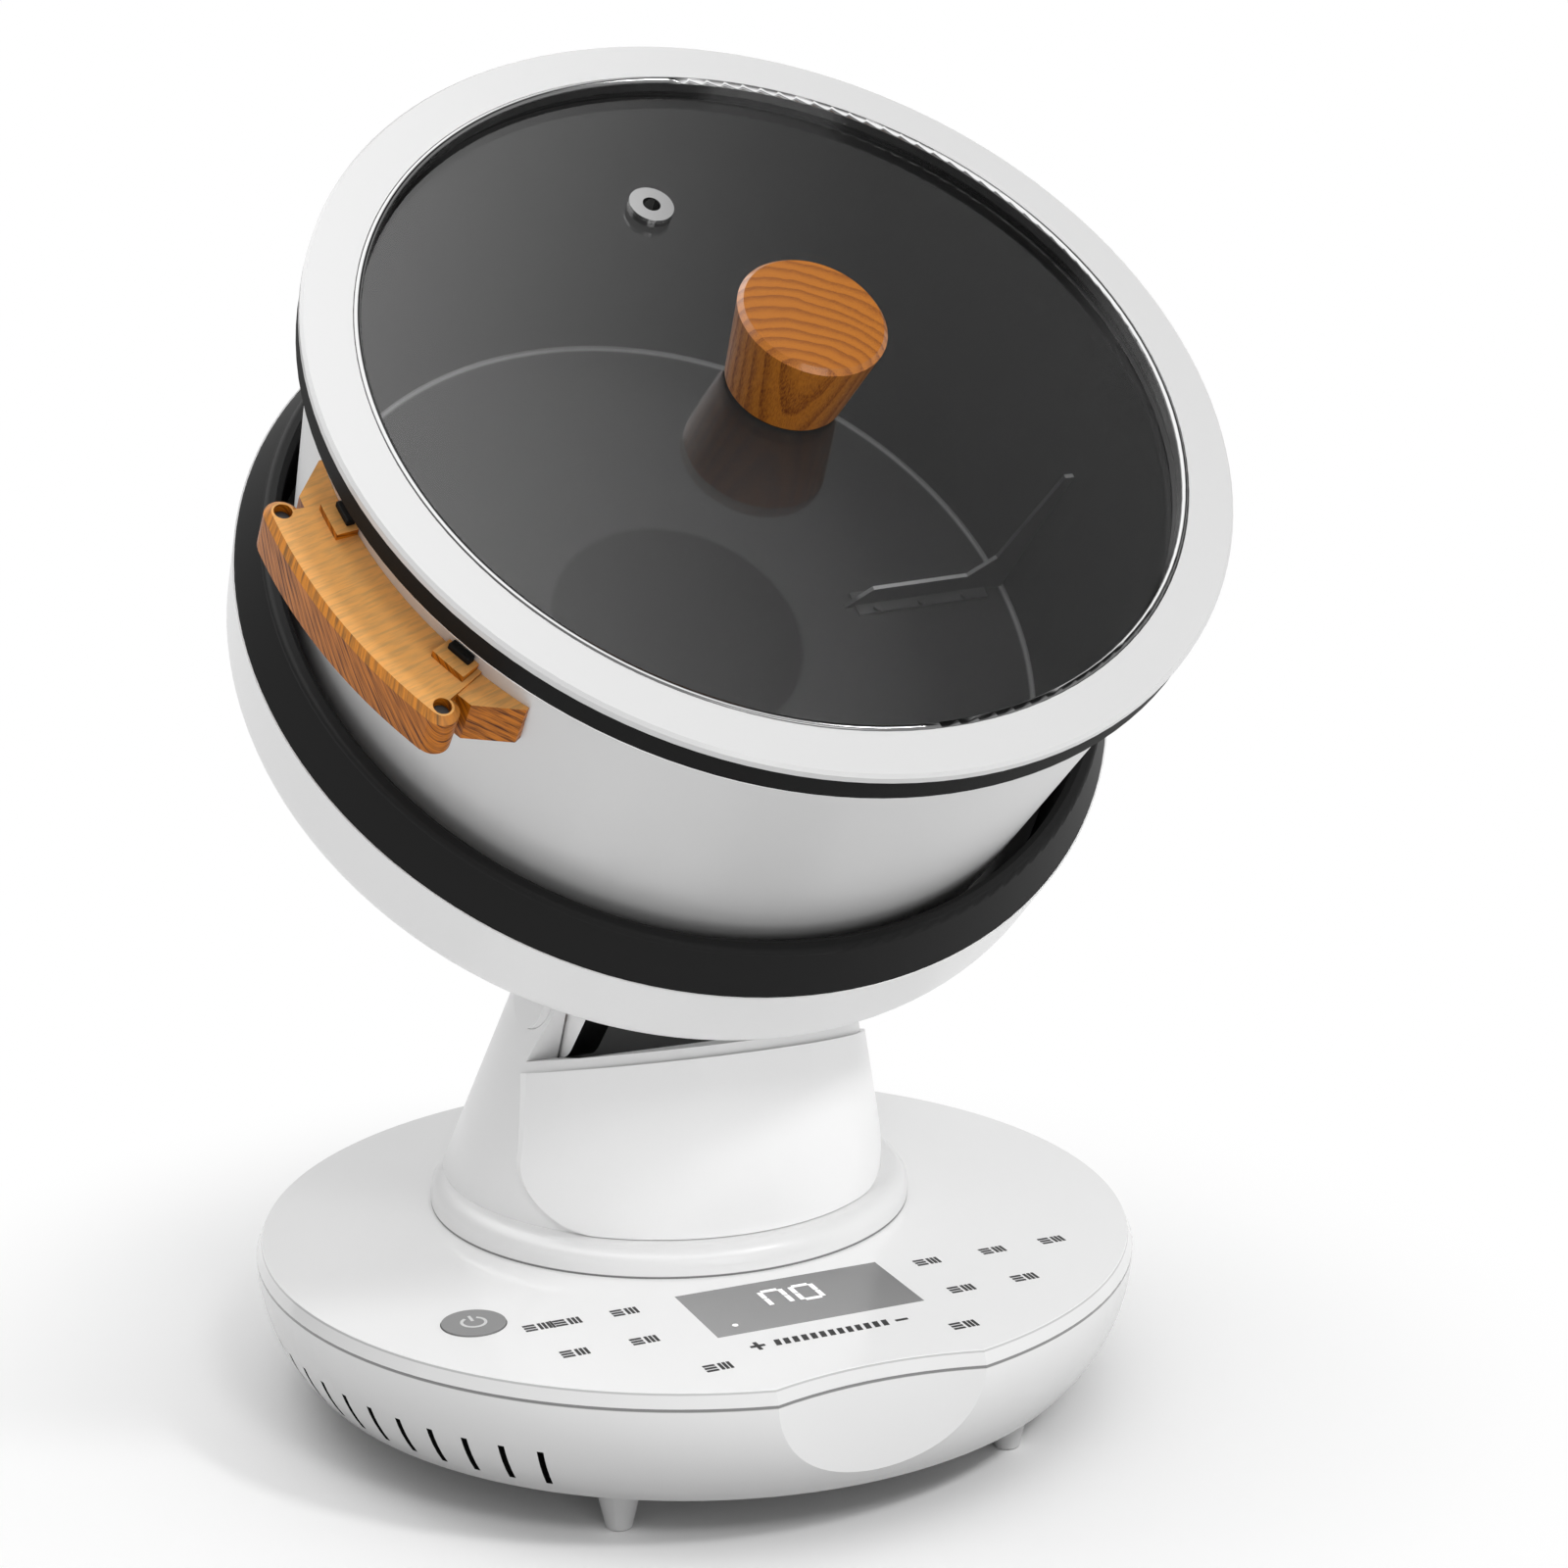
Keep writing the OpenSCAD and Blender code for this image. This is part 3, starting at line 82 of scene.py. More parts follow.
# %% Colour, node and material helpers
def linear(red, green, blue):
    tones = (red, green, blue)
    return tuple(c / 12.92 if c <= 0.04045 else ((c + 0.055) / 1.055) ** 2.4 for c in tones) + (1.0,)


def grey(value):
    return linear(value, value, value)


def fill(tree, node, inputs):
    for key, value in inputs.items():
        if isinstance(value, bpy.types.NodeSocket):
            tree.links.new(value, node.inputs[key])
        else:
            node.inputs[key].default_value = value
    return node


def add_node(tree, kind, inputs=None, **settings):
    node = tree.nodes.new(kind)
    for name, value in settings.items():
        setattr(node, name, value)
    return fill(tree, node, inputs or {})


def join(tree, pairs):
    for source, target in pairs:
        tree.links.new(source, target)


def new_material(name, **sockets):
    material = bpy.data.materials.new(name)
    material.use_nodes = True
    shader = material.node_tree.nodes["Principled BSDF"]
    for key, value in sockets.items():
        shader.inputs[key.replace("_", " ").title().replace("Ior", "IOR")].default_value = value
    return material, material.node_tree, shader


print("material helpers ready")

# %% [markdown]
# An effect that several materials share is a node group: it is built once, with named inputs and outputs,
# and placed in each material with that material's own values. These two helpers make a group and use it.

# %% Group helpers
COLOUR, VALUE, VECTOR = "NodeSocketColor", "NodeSocketFloat", "NodeSocketVector"


def new_group(name, inputs, outputs):
    group = bpy.data.node_groups.new(name, "ShaderNodeTree")
    for label, kind, value in inputs:
        socket = group.interface.new_socket(label, in_out="INPUT", socket_type=kind)
        if value is not None:
            socket.default_value = value
    for label, kind in outputs:
        group.interface.new_socket(label, in_out="OUTPUT", socket_type=kind)
    return group, group.nodes.new("NodeGroupInput"), group.nodes.new("NodeGroupOutput")


def use_group(tree, group, **inputs):
    return fill(tree, add_node(tree, "ShaderNodeGroup", node_tree=group), inputs)


print("group helpers ready")

# %% [markdown]
# Most node work is plain arithmetic on values that change over the surface. These helpers each add one node
# and hand back its output, so that a chain of nodes reads like a formula. Noise is the usual source: it
# gives a soft random value for every place.

# %% Arithmetic and noise helpers
def maths(tree, operation, *values, clamp=False):
    inputs = dict(enumerate(values))
    return add_node(tree, "ShaderNodeMath", inputs, operation=operation, use_clamp=clamp).outputs[0]


def vector_maths(tree, operation, first, second=None, scale=None):
    inputs = {key: value for key, value in ((0, first), (1, second), ("Scale", scale)) if value is not None}
    node = add_node(tree, "ShaderNodeVectorMath", inputs, operation=operation)
    return node.outputs["Value" if operation in ("DOT_PRODUCT", "LENGTH") else "Vector"]


def noise(tree, scale, detail=2.0, roughness=0.5, place=None):
    inputs = {"Scale": scale, "Detail": detail, "Roughness": roughness}
    if place is not None:
        inputs["Vector"] = place
    return add_node(tree, "ShaderNodeTexNoise", inputs).outputs["Fac"]


print("arithmetic and noise helpers ready")

# %% [markdown]
# Every moulded surface has a very fine skin: tiny bumps that soften reflections, and a slow drift of tone.
# The skin is one node group that all plastics share. It gives a tinted colour, a roughness and a height.

# %% Moulded skin group
ROUGHNESS_SPREAD = 0.12
moulded_skin, ins, outs = new_group(
    "moulded skin",
    [("Colour", COLOUR, None), ("Roughness", VALUE, 0.3), ("Grain", VALUE, 2600.0), ("Drift", VALUE, 0.04)],
    [("Colour", COLOUR), ("Roughness", VALUE), ("Height", VALUE)])
place = add_node(moulded_skin, "ShaderNodeTexCoord").outputs["Object"]
fine = noise(moulded_skin, ins.outputs["Grain"], 3.0, 0.6, place)
slow = noise(moulded_skin, 9.0, place=place)
tone = maths(moulded_skin, "SUBTRACT", slow, 0.5)
tone = maths(moulded_skin, "MULTIPLY_ADD", tone, ins.outputs["Drift"], 1.0)
tinted = vector_maths(moulded_skin, "SCALE", ins.outputs["Colour"], scale=tone)
rough = maths(moulded_skin, "MULTIPLY_ADD", fine, ROUGHNESS_SPREAD, -ROUGHNESS_SPREAD / 2)
rough = maths(moulded_skin, "ADD", rough, ins.outputs["Roughness"])
join(moulded_skin, [(tinted, outs.inputs["Colour"]), (rough, outs.inputs["Roughness"]),
                    (fine, outs.inputs["Height"])])
print("moulded skin group:", len(moulded_skin.nodes), "nodes")

# %% [markdown]
# The finishes of the tilted pieces follow the head's own axis: rings on the pan, brushing round the pot,
# grain in the knob. This group turns a place on the object into the head's frame, in millimetres, and also
# gives the distance from the axis, the height along it and the angle round it.

# %% Head coordinates group
def rotated(tree, vector, angle, axis):
    inputs = {"Vector": vector, "Angle": angle}
    return add_node(tree, "ShaderNodeVectorRotate", inputs, rotation_type=axis).outputs[0]


head_place, ins, outs = new_group(
    "head coordinates", [], [("Place", VECTOR), ("Radius", VALUE), ("Height", VALUE), ("Turn", VALUE)])
place = add_node(head_place, "ShaderNodeTexCoord").outputs["Object"]
moved = vector_maths(head_place, "SUBTRACT", place, HEAD_ORIGIN)
turned = rotated(head_place, moved, -HEAD_TILT, "X_AXIS")
scaled = vector_maths(head_place, "SCALE", turned, scale=1 / MM)
x, w, t = add_node(head_place, "ShaderNodeSeparateXYZ", {0: scaled}).outputs
across = add_node(head_place, "ShaderNodeCombineXYZ", {0: x, 1: w}).outputs[0]
radius = vector_maths(head_place, "LENGTH", across)
turn = maths(head_place, "ARCTAN2", w, x)
join(head_place, [(scaled, outs.inputs["Place"]), (radius, outs.inputs["Radius"]),
                  (t, outs.inputs["Height"]), (turn, outs.inputs["Turn"])])
print("head coordinates group:", len(head_place.nodes), "nodes")

# %% [markdown]
# A ramp turns one range of values into another, straight or with a soft start and end, and a mix lays one
# colour over another by a mask. Blender's Mix node keeps its own sockets for every kind of data, all with
# the same names, so those for colours are picked by their place in its list.

# %% Ramp and mix helpers
def ramp(tree, value, start, end, low=0.0, high=1.0, smooth=False):
    inputs = {"Value": value, "From Min": start, "From Max": end, "To Min": low, "To Max": high}
    kind = "SMOOTHSTEP" if smooth else "LINEAR"
    return add_node(tree, "ShaderNodeMapRange", inputs, interpolation_type=kind).outputs[0]


def mix_colour(tree, mask, first, second):
    return add_node(tree, "ShaderNodeMix", {0: mask, 6: first, 7: second}, data_type="RGBA").outputs[2]


print("ramp and mix helpers ready")

# %% [markdown]
# Wood is the one warm material here. Growth rings are cylinders round the trunk's axis, so the group takes
# a place measured from that axis, wobbles its radius with noise, and turns it into pale early wood that
# darkens into a thin line of late wood. Short fibres run along the axis, as strong as each piece asks for.

# %% Wood group
ALONG_TRUNK = (1, 1, 0.25)
THIN_FIBRES = (5, 5, 0.25)
LATE_START, LATE_END = 0.25, 0.93
wood_figure, ins, outs = new_group(
    "wood figure",
    [("Place", VECTOR, None), ("Spacing", VALUE, 3.0), ("Wobble", VALUE, 2.5), ("Contrast", VALUE, 0.5),
     ("Fibre", VALUE, 1.0), ("Pale", COLOUR, None), ("Dark", COLOUR, None)],
    [("Colour", COLOUR), ("Roughness", VALUE), ("Height", VALUE)])
x, y, z = add_node(wood_figure, "ShaderNodeSeparateXYZ", {0: ins.outputs["Place"]}).outputs
flat = add_node(wood_figure, "ShaderNodeCombineXYZ", {0: x, 1: y}).outputs[0]
ring_radius = vector_maths(wood_figure, "LENGTH", flat)
stretched = vector_maths(wood_figure, "MULTIPLY", ins.outputs["Place"], ALONG_TRUNK)
wander = noise(wood_figure, 0.06, 3.0, place=stretched)
wandered = maths(wood_figure, "MULTIPLY_ADD", wander, ins.outputs["Wobble"], ring_radius)
rings = maths(wood_figure, "DIVIDE", wandered, ins.outputs["Spacing"])
saw = maths(wood_figure, "FRACT", rings)
late = ramp(wood_figure, saw, LATE_START, LATE_END, smooth=True)
early = ramp(wood_figure, saw, LATE_END, 1.0, 1.0, 0.0)
band = maths(wood_figure, "MULTIPLY", late, early)
thin = vector_maths(wood_figure, "MULTIPLY", ins.outputs["Place"], THIN_FIBRES)
streak = ramp(wood_figure, noise(wood_figure, 0.8, 5.0, place=thin), 0.35, 0.7, -0.2, 0.5)
streak = maths(wood_figure, "MULTIPLY", streak, ins.outputs["Fibre"])
figure = maths(wood_figure, "MULTIPLY_ADD", band, ins.outputs["Contrast"], streak, clamp=True)
tint = mix_colour(wood_figure, figure, ins.outputs["Pale"], ins.outputs["Dark"])
sheen = ramp(wood_figure, figure, 0.0, 1.0, 0.34, 0.5)
join(wood_figure, [(tint, outs.inputs["Colour"]), (sheen, outs.inputs["Roughness"]),
                   (figure, outs.inputs["Height"])])
print("wood group:", len(wood_figure.nodes), "nodes")

# %% [markdown]
# Some marks follow the shape alone: a seam lies at one height, and the floor of a recess faces up. So one
# group gives a mask from the height over the table, and another says how far a face looks a given way. The
# second reads the normal in the object's own space, so a mask stays on its face when a joint moves.

# %% Height and facing groups
height_band, ins, outs = new_group("height band", [("Low", VALUE, 0.0), ("High", VALUE, 1.0)],
                                   [("Mask", VALUE)])
place = add_node(height_band, "ShaderNodeTexCoord").outputs["Object"]
height = add_node(height_band, "ShaderNodeSeparateXYZ", {0: place}).outputs["Z"]
band = ramp(height_band, height, ins.outputs["Low"], ins.outputs["High"])
join(height_band, [(band, outs.inputs["Mask"])])

facing, ins, outs = new_group("facing", [("Way", VECTOR, None)], [("Share", VALUE)])
normal = add_node(facing, "ShaderNodeTexCoord").outputs["Normal"]
share = vector_maths(facing, "DOT_PRODUCT", normal, ins.outputs["Way"])
join(facing, [(share, outs.inputs["Share"])])


def height_mask(tree, low, high):
    return use_group(tree, height_band, Low=low, High=high).outputs["Mask"]


def facing_share(tree, way):
    return use_group(tree, facing, Way=way).outputs["Share"]


print("height and facing groups:", len(height_band.nodes) + len(facing.nodes), "nodes")

# %% [markdown]
# Brushed and turned metal has hair lines that run round the axis on which the piece was turned. The group
# stretches noise along the angle round that axis, and gives a height for the lines and a roughness.

# %% Turned metal group
turned_lines, ins, outs = new_group(
    "turned lines",
    [("Radius", VALUE, 0.0), ("Height", VALUE, 0.0), ("Turn", VALUE, 0.0), ("Roughness", VALUE, 0.3),
     ("Spread", VALUE, 0.1)],
    [("Lines", VALUE), ("Roughness", VALUE)])
strip = add_node(turned_lines, "ShaderNodeCombineXYZ",
                 {0: ins.outputs["Radius"], 1: ins.outputs["Height"], 2: ins.outputs["Turn"]}).outputs[0]
hair = noise(turned_lines, 3.0, 4.0, 0.7, strip)
centred = maths(turned_lines, "SUBTRACT", hair, 0.5)
rough = maths(turned_lines, "MULTIPLY_ADD", centred, ins.outputs["Spread"], ins.outputs["Roughness"])
join(turned_lines, [(hair, outs.inputs["Lines"]), (rough, outs.inputs["Roughness"])])
print("turned lines group:", len(turned_lines.nodes), "nodes")

# %% [markdown]
# The mouldings share one recipe: skin group into colour, roughness and a faint bump, under a thin clear
# coat. A mark, where a piece has one, is laid over the skin's colour. It is given as a function that builds
# its mask, with the tone that shows there.

# %% Moulding recipe
SKIN_DEPTH = 0.2 * MM
PLAIN_SHEEN = 0.5
COAT_ROUGHNESS = 0.05


def bump(tree, height, strength, distance):
    inputs = {"Height": height, "Strength": strength, "Distance": distance}
    return add_node(tree, "ShaderNodeBump", inputs).outputs[0]


def moulded(name, colour, roughness, coat=0.0, sheen=PLAIN_SHEEN, grain=2600.0, drift=0.04, relief=0.02,
            marks=()):
    material, tree, shader = new_material(name, coat_weight=coat, coat_roughness=COAT_ROUGHNESS,
                                          specular_ior_level=sheen)
    skin = use_group(tree, moulded_skin, Colour=colour, Roughness=roughness, Grain=grain, Drift=drift)
    tone = skin.outputs["Colour"]
    for make_mask, mark_tone in marks:
        tone = mix_colour(tree, make_mask(tree), tone, mark_tone)
    join(tree, [(tone, shader.inputs["Base Color"]),
                (skin.outputs["Roughness"], shader.inputs["Roughness"])])
    if relief:
        join(tree, [(bump(tree, skin.outputs["Height"], relief, SKIN_DEPTH), shader.inputs["Normal"])])
    return material


print("moulding recipe ready")

# %% [markdown]
# The plain plastics follow. Only tone, gloss and grain change from piece to piece: whites for the column
# and the dish, greys for the floor plate and the key, soft blacks for the fan and the well. The black ring
# and the rubber seal would look grey in a bright room, so their reflections are held back.

# %% Plastics
DULL_SHEEN = 0.12
column_white = moulded("column white", grey(0.9), 0.34, coat=0.1)
# painted light: the apron is a little whiter than the column's white, for the front light that falls on it
apron_painted_lighter = moulded("apron white", grey(0.94), 0.3, coat=0.1)
dish_white = moulded("dish white", grey(0.91), 0.3, coat=0.2)
plate_grey = moulded("plate grey", grey(0.78), 0.5, grain=1400.0)
key_grey = moulded("key grey", grey(0.52), 0.38)
fan_black = moulded("fan black", grey(0.16), 0.5, grain=1500.0)
ring_black = moulded("ring black", grey(0.1), 0.5, sheen=DULL_SHEEN, grain=3000.0)
deck_black = moulded("deck black", grey(0.1), 0.45)
seal_black = moulded("seal rubber", grey(0.05), 0.6, sheen=DULL_SHEEN, grain=1800.0)
fibre_brown = moulded("friction fibre", linear(0.42, 0.3, 0.2), 0.8, grain=900.0, drift=0.3, relief=0.2)
nylon_ivory = moulded("gear nylon", linear(0.88, 0.86, 0.78), 0.45)
foot_rubber = moulded("foot rubber", grey(0.86), 0.55, grain=1600.0)
motor_paint = moulded("motor paint", linear(0.42, 0.44, 0.46), 0.4, grain=1200.0)
print("plastics made")

# %% [markdown]
# The base's wall meets the panel in a dark seam, which follows the height alone. The cooling slots look
# dark because the hollow behind them lies in shade: faces that don't look outward from the base's middle
# are the slots' sides and the shell's inside, so painted shade darkens them.

# %% Base wall
SEAM_HEIGHT = 54.5 * MM
SEAM = (SEAM_HEIGHT - 1.2 * MM, SEAM_HEIGHT - 0.9 * MM)
LEVEL = (1, 1, 0)


def seam_mask(tree):
    return height_mask(tree, *SEAM)


# painted shade: faces that look inward from the base's middle, the slots' sides and the shell's inside, are
# painted near black
def painted_shade_inside_mask(tree):
    place = add_node(tree, "ShaderNodeTexCoord").outputs["Object"]
    outward = vector_maths(tree, "NORMALIZE", vector_maths(tree, "MULTIPLY", place, LEVEL))
    return ramp(tree, facing_share(tree, outward), 0.25, 0.1)


base_white = moulded("base white", grey(0.9), 0.24, coat=0.35,
                     marks=[(seam_mask, grey(0.5)), (painted_shade_inside_mask, grey(0.12))])
print("base wall seam at", round(SEAM_HEIGHT / MM, 1), "mm")

# %% [markdown]
# The panel is the glossiest piece. Its bevelled edge gets painted shade, a little greyer than its top, and a
# fine darker line of painted shade along the upper edge, where two polished faces meet. The collar round
# the column's foot gets a similar thin line of painted shade where it stands on the panel, which would
# otherwise be lost between two whites.

# %% Panel and collar
PANEL_TOP = 59 * MM
BEVEL = (PANEL_TOP - 0.1 * MM, PANEL_TOP - 0.3 * MM)
UPPER_LINE_END = (PANEL_TOP - 0.9 * MM, PANEL_TOP - 0.7 * MM)
CONTACT_SHADE_BAND = (PANEL_TOP + 0.9 * MM, PANEL_TOP + 0.6 * MM)


# painted shade: the bevel band is painted greyer than the panel's top
def painted_shade_bevel_mask(tree):
    return height_mask(tree, *BEVEL)


# painted shade: a fine dark line along the bevel's upper edge
def painted_shade_edge_line_mask(tree):
    return maths(tree, "MULTIPLY", painted_shade_bevel_mask(tree), height_mask(tree, *UPPER_LINE_END))


# painted shade: a thin dark contact line where the collar stands on the panel
def contact_shade_mask(tree):
    return height_mask(tree, *CONTACT_SHADE_BAND)


panel_white = moulded("panel white", grey(0.98), 0.16, coat=0.6, relief=0.005,
                      marks=[(painted_shade_bevel_mask, grey(0.88)), (painted_shade_edge_line_mask, grey(0.74))])
collar_white = moulded("collar white", grey(0.9), 0.34, coat=0.1, relief=0,
                       marks=[(contact_shade_mask, grey(0.45))])
print("panel top at", round(PANEL_TOP / MM), "mm")

# %% [markdown]
# Between the fork's cheeks lies a recess in deep shade. Its floor is the column's only level face at that
# height, so height and facing together mask it, and there painted shade darkens it, and it loses its coat
# and turns rough. The white yoke that swings over it gets black painted shade on its face that looks
# forward and down.

# %% Fork and yoke
FORK_FLOOR = 121 * MM
FORK_COAT, FORK_DULL = 0.1, 0.95
UP = (0, 0, 1)
SHADED_FACE_WAY = (0, -math.sin(HEAD_TILT), -math.cos(HEAD_TILT))


def mix_value(tree, mask, first, second):
    return add_node(tree, "ShaderNodeMix", {0: mask, 2: first, 3: second}).outputs[0]


# painted shade: the floor of the recess between the cheeks is painted near black
def painted_shade_recess_mask(tree):
    low = height_mask(tree, FORK_FLOOR + 1.0 * MM, FORK_FLOOR + 0.5 * MM)
    return maths(tree, "MULTIPLY", low, ramp(tree, facing_share(tree, UP), 0.9, 0.99))


# painted shade: the yoke's face that looks forward and down is painted black
def painted_shade_face_mask(tree):
    return ramp(tree, facing_share(tree, SHADED_FACE_WAY), 0.9, 0.95)


fork_white = moulded("fork white", grey(0.9), 0.34, coat=FORK_COAT, relief=0,
                     marks=[(painted_shade_recess_mask, grey(0.08))])
tree = fork_white.node_tree
shader = tree.nodes["Principled BSDF"]
recess = painted_shade_recess_mask(tree)
skin_roughness = shader.inputs["Roughness"].links[0].from_socket
join(tree, [(mix_value(tree, recess, skin_roughness, FORK_DULL), shader.inputs["Roughness"]),
            (ramp(tree, recess, 0.0, 1.0, FORK_COAT, 0.0), shader.inputs["Coat Weight"])])
yoke_white = moulded("yoke white", grey(0.95), 0.3, coat=0.2, relief=0, marks=[(painted_shade_face_mask, grey(0.06))])
print("fork floor at", round(FORK_FLOOR / MM), "mm")

# %% [markdown]
# The metals: a pale jacket round the pot with fine lines that run round it, turned aluminium under it,
# polished chrome and a darker trim on the lid, and plain steel for the fasteners. A picture of brushed metal
# could be wrapped round the pot, but lines made in the head's own coordinates have no seam. The jacket is
# satin rather than mirror bright, so it is only partly metallic.

# %% Metals
LINE_DEPTH = 0.2 * MM


def turned_metal(name, colour, roughness, spread=0.1, relief=0.05, metallic=1.0):
    material, tree, shader = new_material(name, metallic=metallic, base_color=colour)
    head = use_group(tree, head_place)
    lines = use_group(tree, turned_lines, Radius=head.outputs["Radius"], Height=head.outputs["Height"],
                      Turn=head.outputs["Turn"], Roughness=roughness, Spread=spread)
    join(tree, [(lines.outputs["Roughness"], shader.inputs["Roughness"]),
                (bump(tree, lines.outputs["Lines"], relief, LINE_DEPTH), shader.inputs["Normal"])])
    return material


jacket_steel = turned_metal("pot jacket steel", grey(0.83), 0.4, relief=0.04, metallic=0.3)
hub_aluminium = turned_metal("hub aluminium", grey(0.84), 0.4, relief=0.2)
chrome = turned_metal("polished chrome", grey(0.78), 0.08, spread=0.04, relief=0.01)
trim_steel = turned_metal("rim trim steel", grey(0.5), 0.15, spread=0.04, relief=0.01)
steel = turned_metal("fastener steel", grey(0.78), 0.35)
bronze = turned_metal("bush bronze", linear(0.75, 0.6, 0.38), 0.35)
copper = turned_metal("coil copper", linear(0.85, 0.52, 0.34), 0.35, relief=0.6)
cast_aluminium = turned_metal("cast aluminium", grey(0.8), 0.5, spread=0.2, relief=0.25)
print("metals made")

# %% [markdown]
# The lid's rim is a pale satin ring that looks enamelled rather than bare, so it uses the plastics' recipe
# with a coat and hardly any drift. The pot's rolled bead under it is the same enamel with more gloss.

# %% Enamelled rim and bead
rim_white = moulded("rim enamel", grey(0.8), 0.3, coat=0.3, drift=0.02)
bead_white = moulded("bead enamel", grey(0.95), 0.2, coat=0.5, drift=0.02)
print("enamels made")

# %% [markdown]
# Inside, the pan is coated in dark grey. Its floor is painted paler than its wall, as painted light that
# falls along the axis, with a darker round field in the middle and a painted highlight along the edge where
# the floor turns up. All of it depends on radius and height in the head's frame, so three soft masks build
# the colour. Lengths here are in the head's millimetres.

# %% Non-stick pan
FLOOR_TURN = (-13.6, -12.9)
CENTRE_FIELD = (47.0, 44.0)
FLOOR_EDGE_HIGHLIGHT = (130.6, 132.0)
pan_coating, tree, shader = new_material("pan coating", specular_ior_level=0.4, roughness=0.42)
head = use_group(tree, head_place)
skin = use_group(tree, moulded_skin, Colour=grey(0.23), Roughness=0.42, Grain=1500.0, Drift=0.08)
wall_mask = ramp(tree, head.outputs["Height"], *FLOOR_TURN, smooth=True)
centre_mask = ramp(tree, head.outputs["Radius"], *CENTRE_FIELD, smooth=True)
# painted light: the floor is paler than the wall, and a painted highlight runs along the floor's edge
painted_highlight_edge_mask = ramp(tree, head.outputs["Radius"], *FLOOR_EDGE_HIGHLIGHT, smooth=True)
painted_light_floor_tone = mix_colour(tree, centre_mask, grey(0.28), grey(0.12))
painted_light_floor_tone = mix_colour(tree, painted_highlight_edge_mask, painted_light_floor_tone, grey(0.7))
pan_tone = mix_colour(tree, wall_mask, painted_light_floor_tone, skin.outputs["Colour"])
join(tree, [(pan_tone, shader.inputs["Base Color"])])
print("pan coating made")

# %% [markdown]
# The stirring fin is bent from sheet, and its crest gets a painted highlight. The crest could be a strip of
# its own, but the faces that look out along the axis are easy to find by their normal, so a mask paints them
# pale as a highlight. The fin's foot on the pan's floor looks the same way, so the mask leaves it out by its
# height.

# %% Stirring fin
FIN_FOOT_TOP = (-11.0, -9.0)


# painted light: faces that look out along the head's axis; the fin's painted highlight and the grips' paler
# tops use it
def painted_light_axis_mask(tree):
    return ramp(tree, facing_share(tree, HEAD_AXIS), 0.6, 0.9, smooth=True)


fin_steel, tree, shader = new_material("fin steel", roughness=0.35, metallic=0.3)
head = use_group(tree, head_place)
over_foot = ramp(tree, head.outputs["Height"], *FIN_FOOT_TOP, smooth=True)
# painted highlight on the fin's crest
painted_highlight_crest = maths(tree, "MULTIPLY", painted_light_axis_mask(tree), over_foot)
join(tree, [(mix_colour(tree, painted_highlight_crest, grey(0.42), grey(0.95)), shader.inputs["Base Color"])])
print("fin made")

# %% [markdown]
# The lid's glass is tinted grey. Light has to reach the pan, so shadow rays pass the glass as a plain tint,
# while everything the camera sees goes through the real glass shader. A very weak, wide bump keeps
# reflections from looking ruled.

# %% Tinted glass
GLASS_TINT = grey(0.82)
SMEAR_DEPTH = 0.5 * MM


def mix_shader(tree, mask, first, second):
    return add_node(tree, "ShaderNodeMixShader", {0: mask, 1: first, 2: second}).outputs[0]


lid_glass, tree, shader = new_material("lid glass", roughness=0.02, transmission_weight=1.0, ior=1.45,
                                       base_color=GLASS_TINT)
smear = noise(tree, 6.0, 0.0)
join(tree, [(bump(tree, smear, 0.004, SMEAR_DEPTH), shader.inputs["Normal"])])
clear = add_node(tree, "ShaderNodeBsdfTransparent", {0: GLASS_TINT}).outputs[0]
shadow_ray = add_node(tree, "ShaderNodeLightPath").outputs["Is Shadow Ray"]
passing = mix_shader(tree, shadow_ray, shader.outputs[0], clear)
join(tree, [(passing, tree.nodes["Material Output"].inputs["Surface"])])
print("glass made")

# %% [markdown]
# The knob was turned from a stick whose rings have their centre beside it, so its top shows arcs. The grips
# were sawn with the grain lying across them: their tops show short cross lines and their sides slanted
# stripes. Both use the wood group, with the place measured from a different trunk axis and stretched along
# it. The grips' flat tops face the light, so painted light makes them paler than their sides.

# %% Woods
PAINTED_LIGHT_SHARE = 0.55
GRAIN_DEPTH = 0.3 * MM


def wooden(name, turn, lean, trunk, stretch, pale, dark, gloss, lit_top_tone=None, **figure):
    material, tree, shader = new_material(name, coat_weight=gloss, coat_roughness=0.12,
                                          specular_ior_level=0.2)
    place = rotated(tree, use_group(tree, head_place).outputs["Place"], turn, "Z_AXIS")
    place = rotated(tree, place, lean, "Y_AXIS")
    place = vector_maths(tree, "MULTIPLY", vector_maths(tree, "SUBTRACT", place, trunk), stretch)
    wood = use_group(tree, wood_figure, Place=place, Pale=pale, Dark=dark, **figure)
    tone = wood.outputs["Colour"]
    # painted light: the grips' axis-facing tops are mixed towards a paler tone
    if lit_top_tone:
        tone = mix_colour(tree, maths(tree, "MULTIPLY", painted_light_axis_mask(tree), PAINTED_LIGHT_SHARE), tone, lit_top_tone)
    join(tree, [(tone, shader.inputs["Base Color"]),
                (wood.outputs["Roughness"], shader.inputs["Roughness"]),
                (bump(tree, wood.outputs["Height"], 0.06, GRAIN_DEPTH), shader.inputs["Normal"])])
    return material


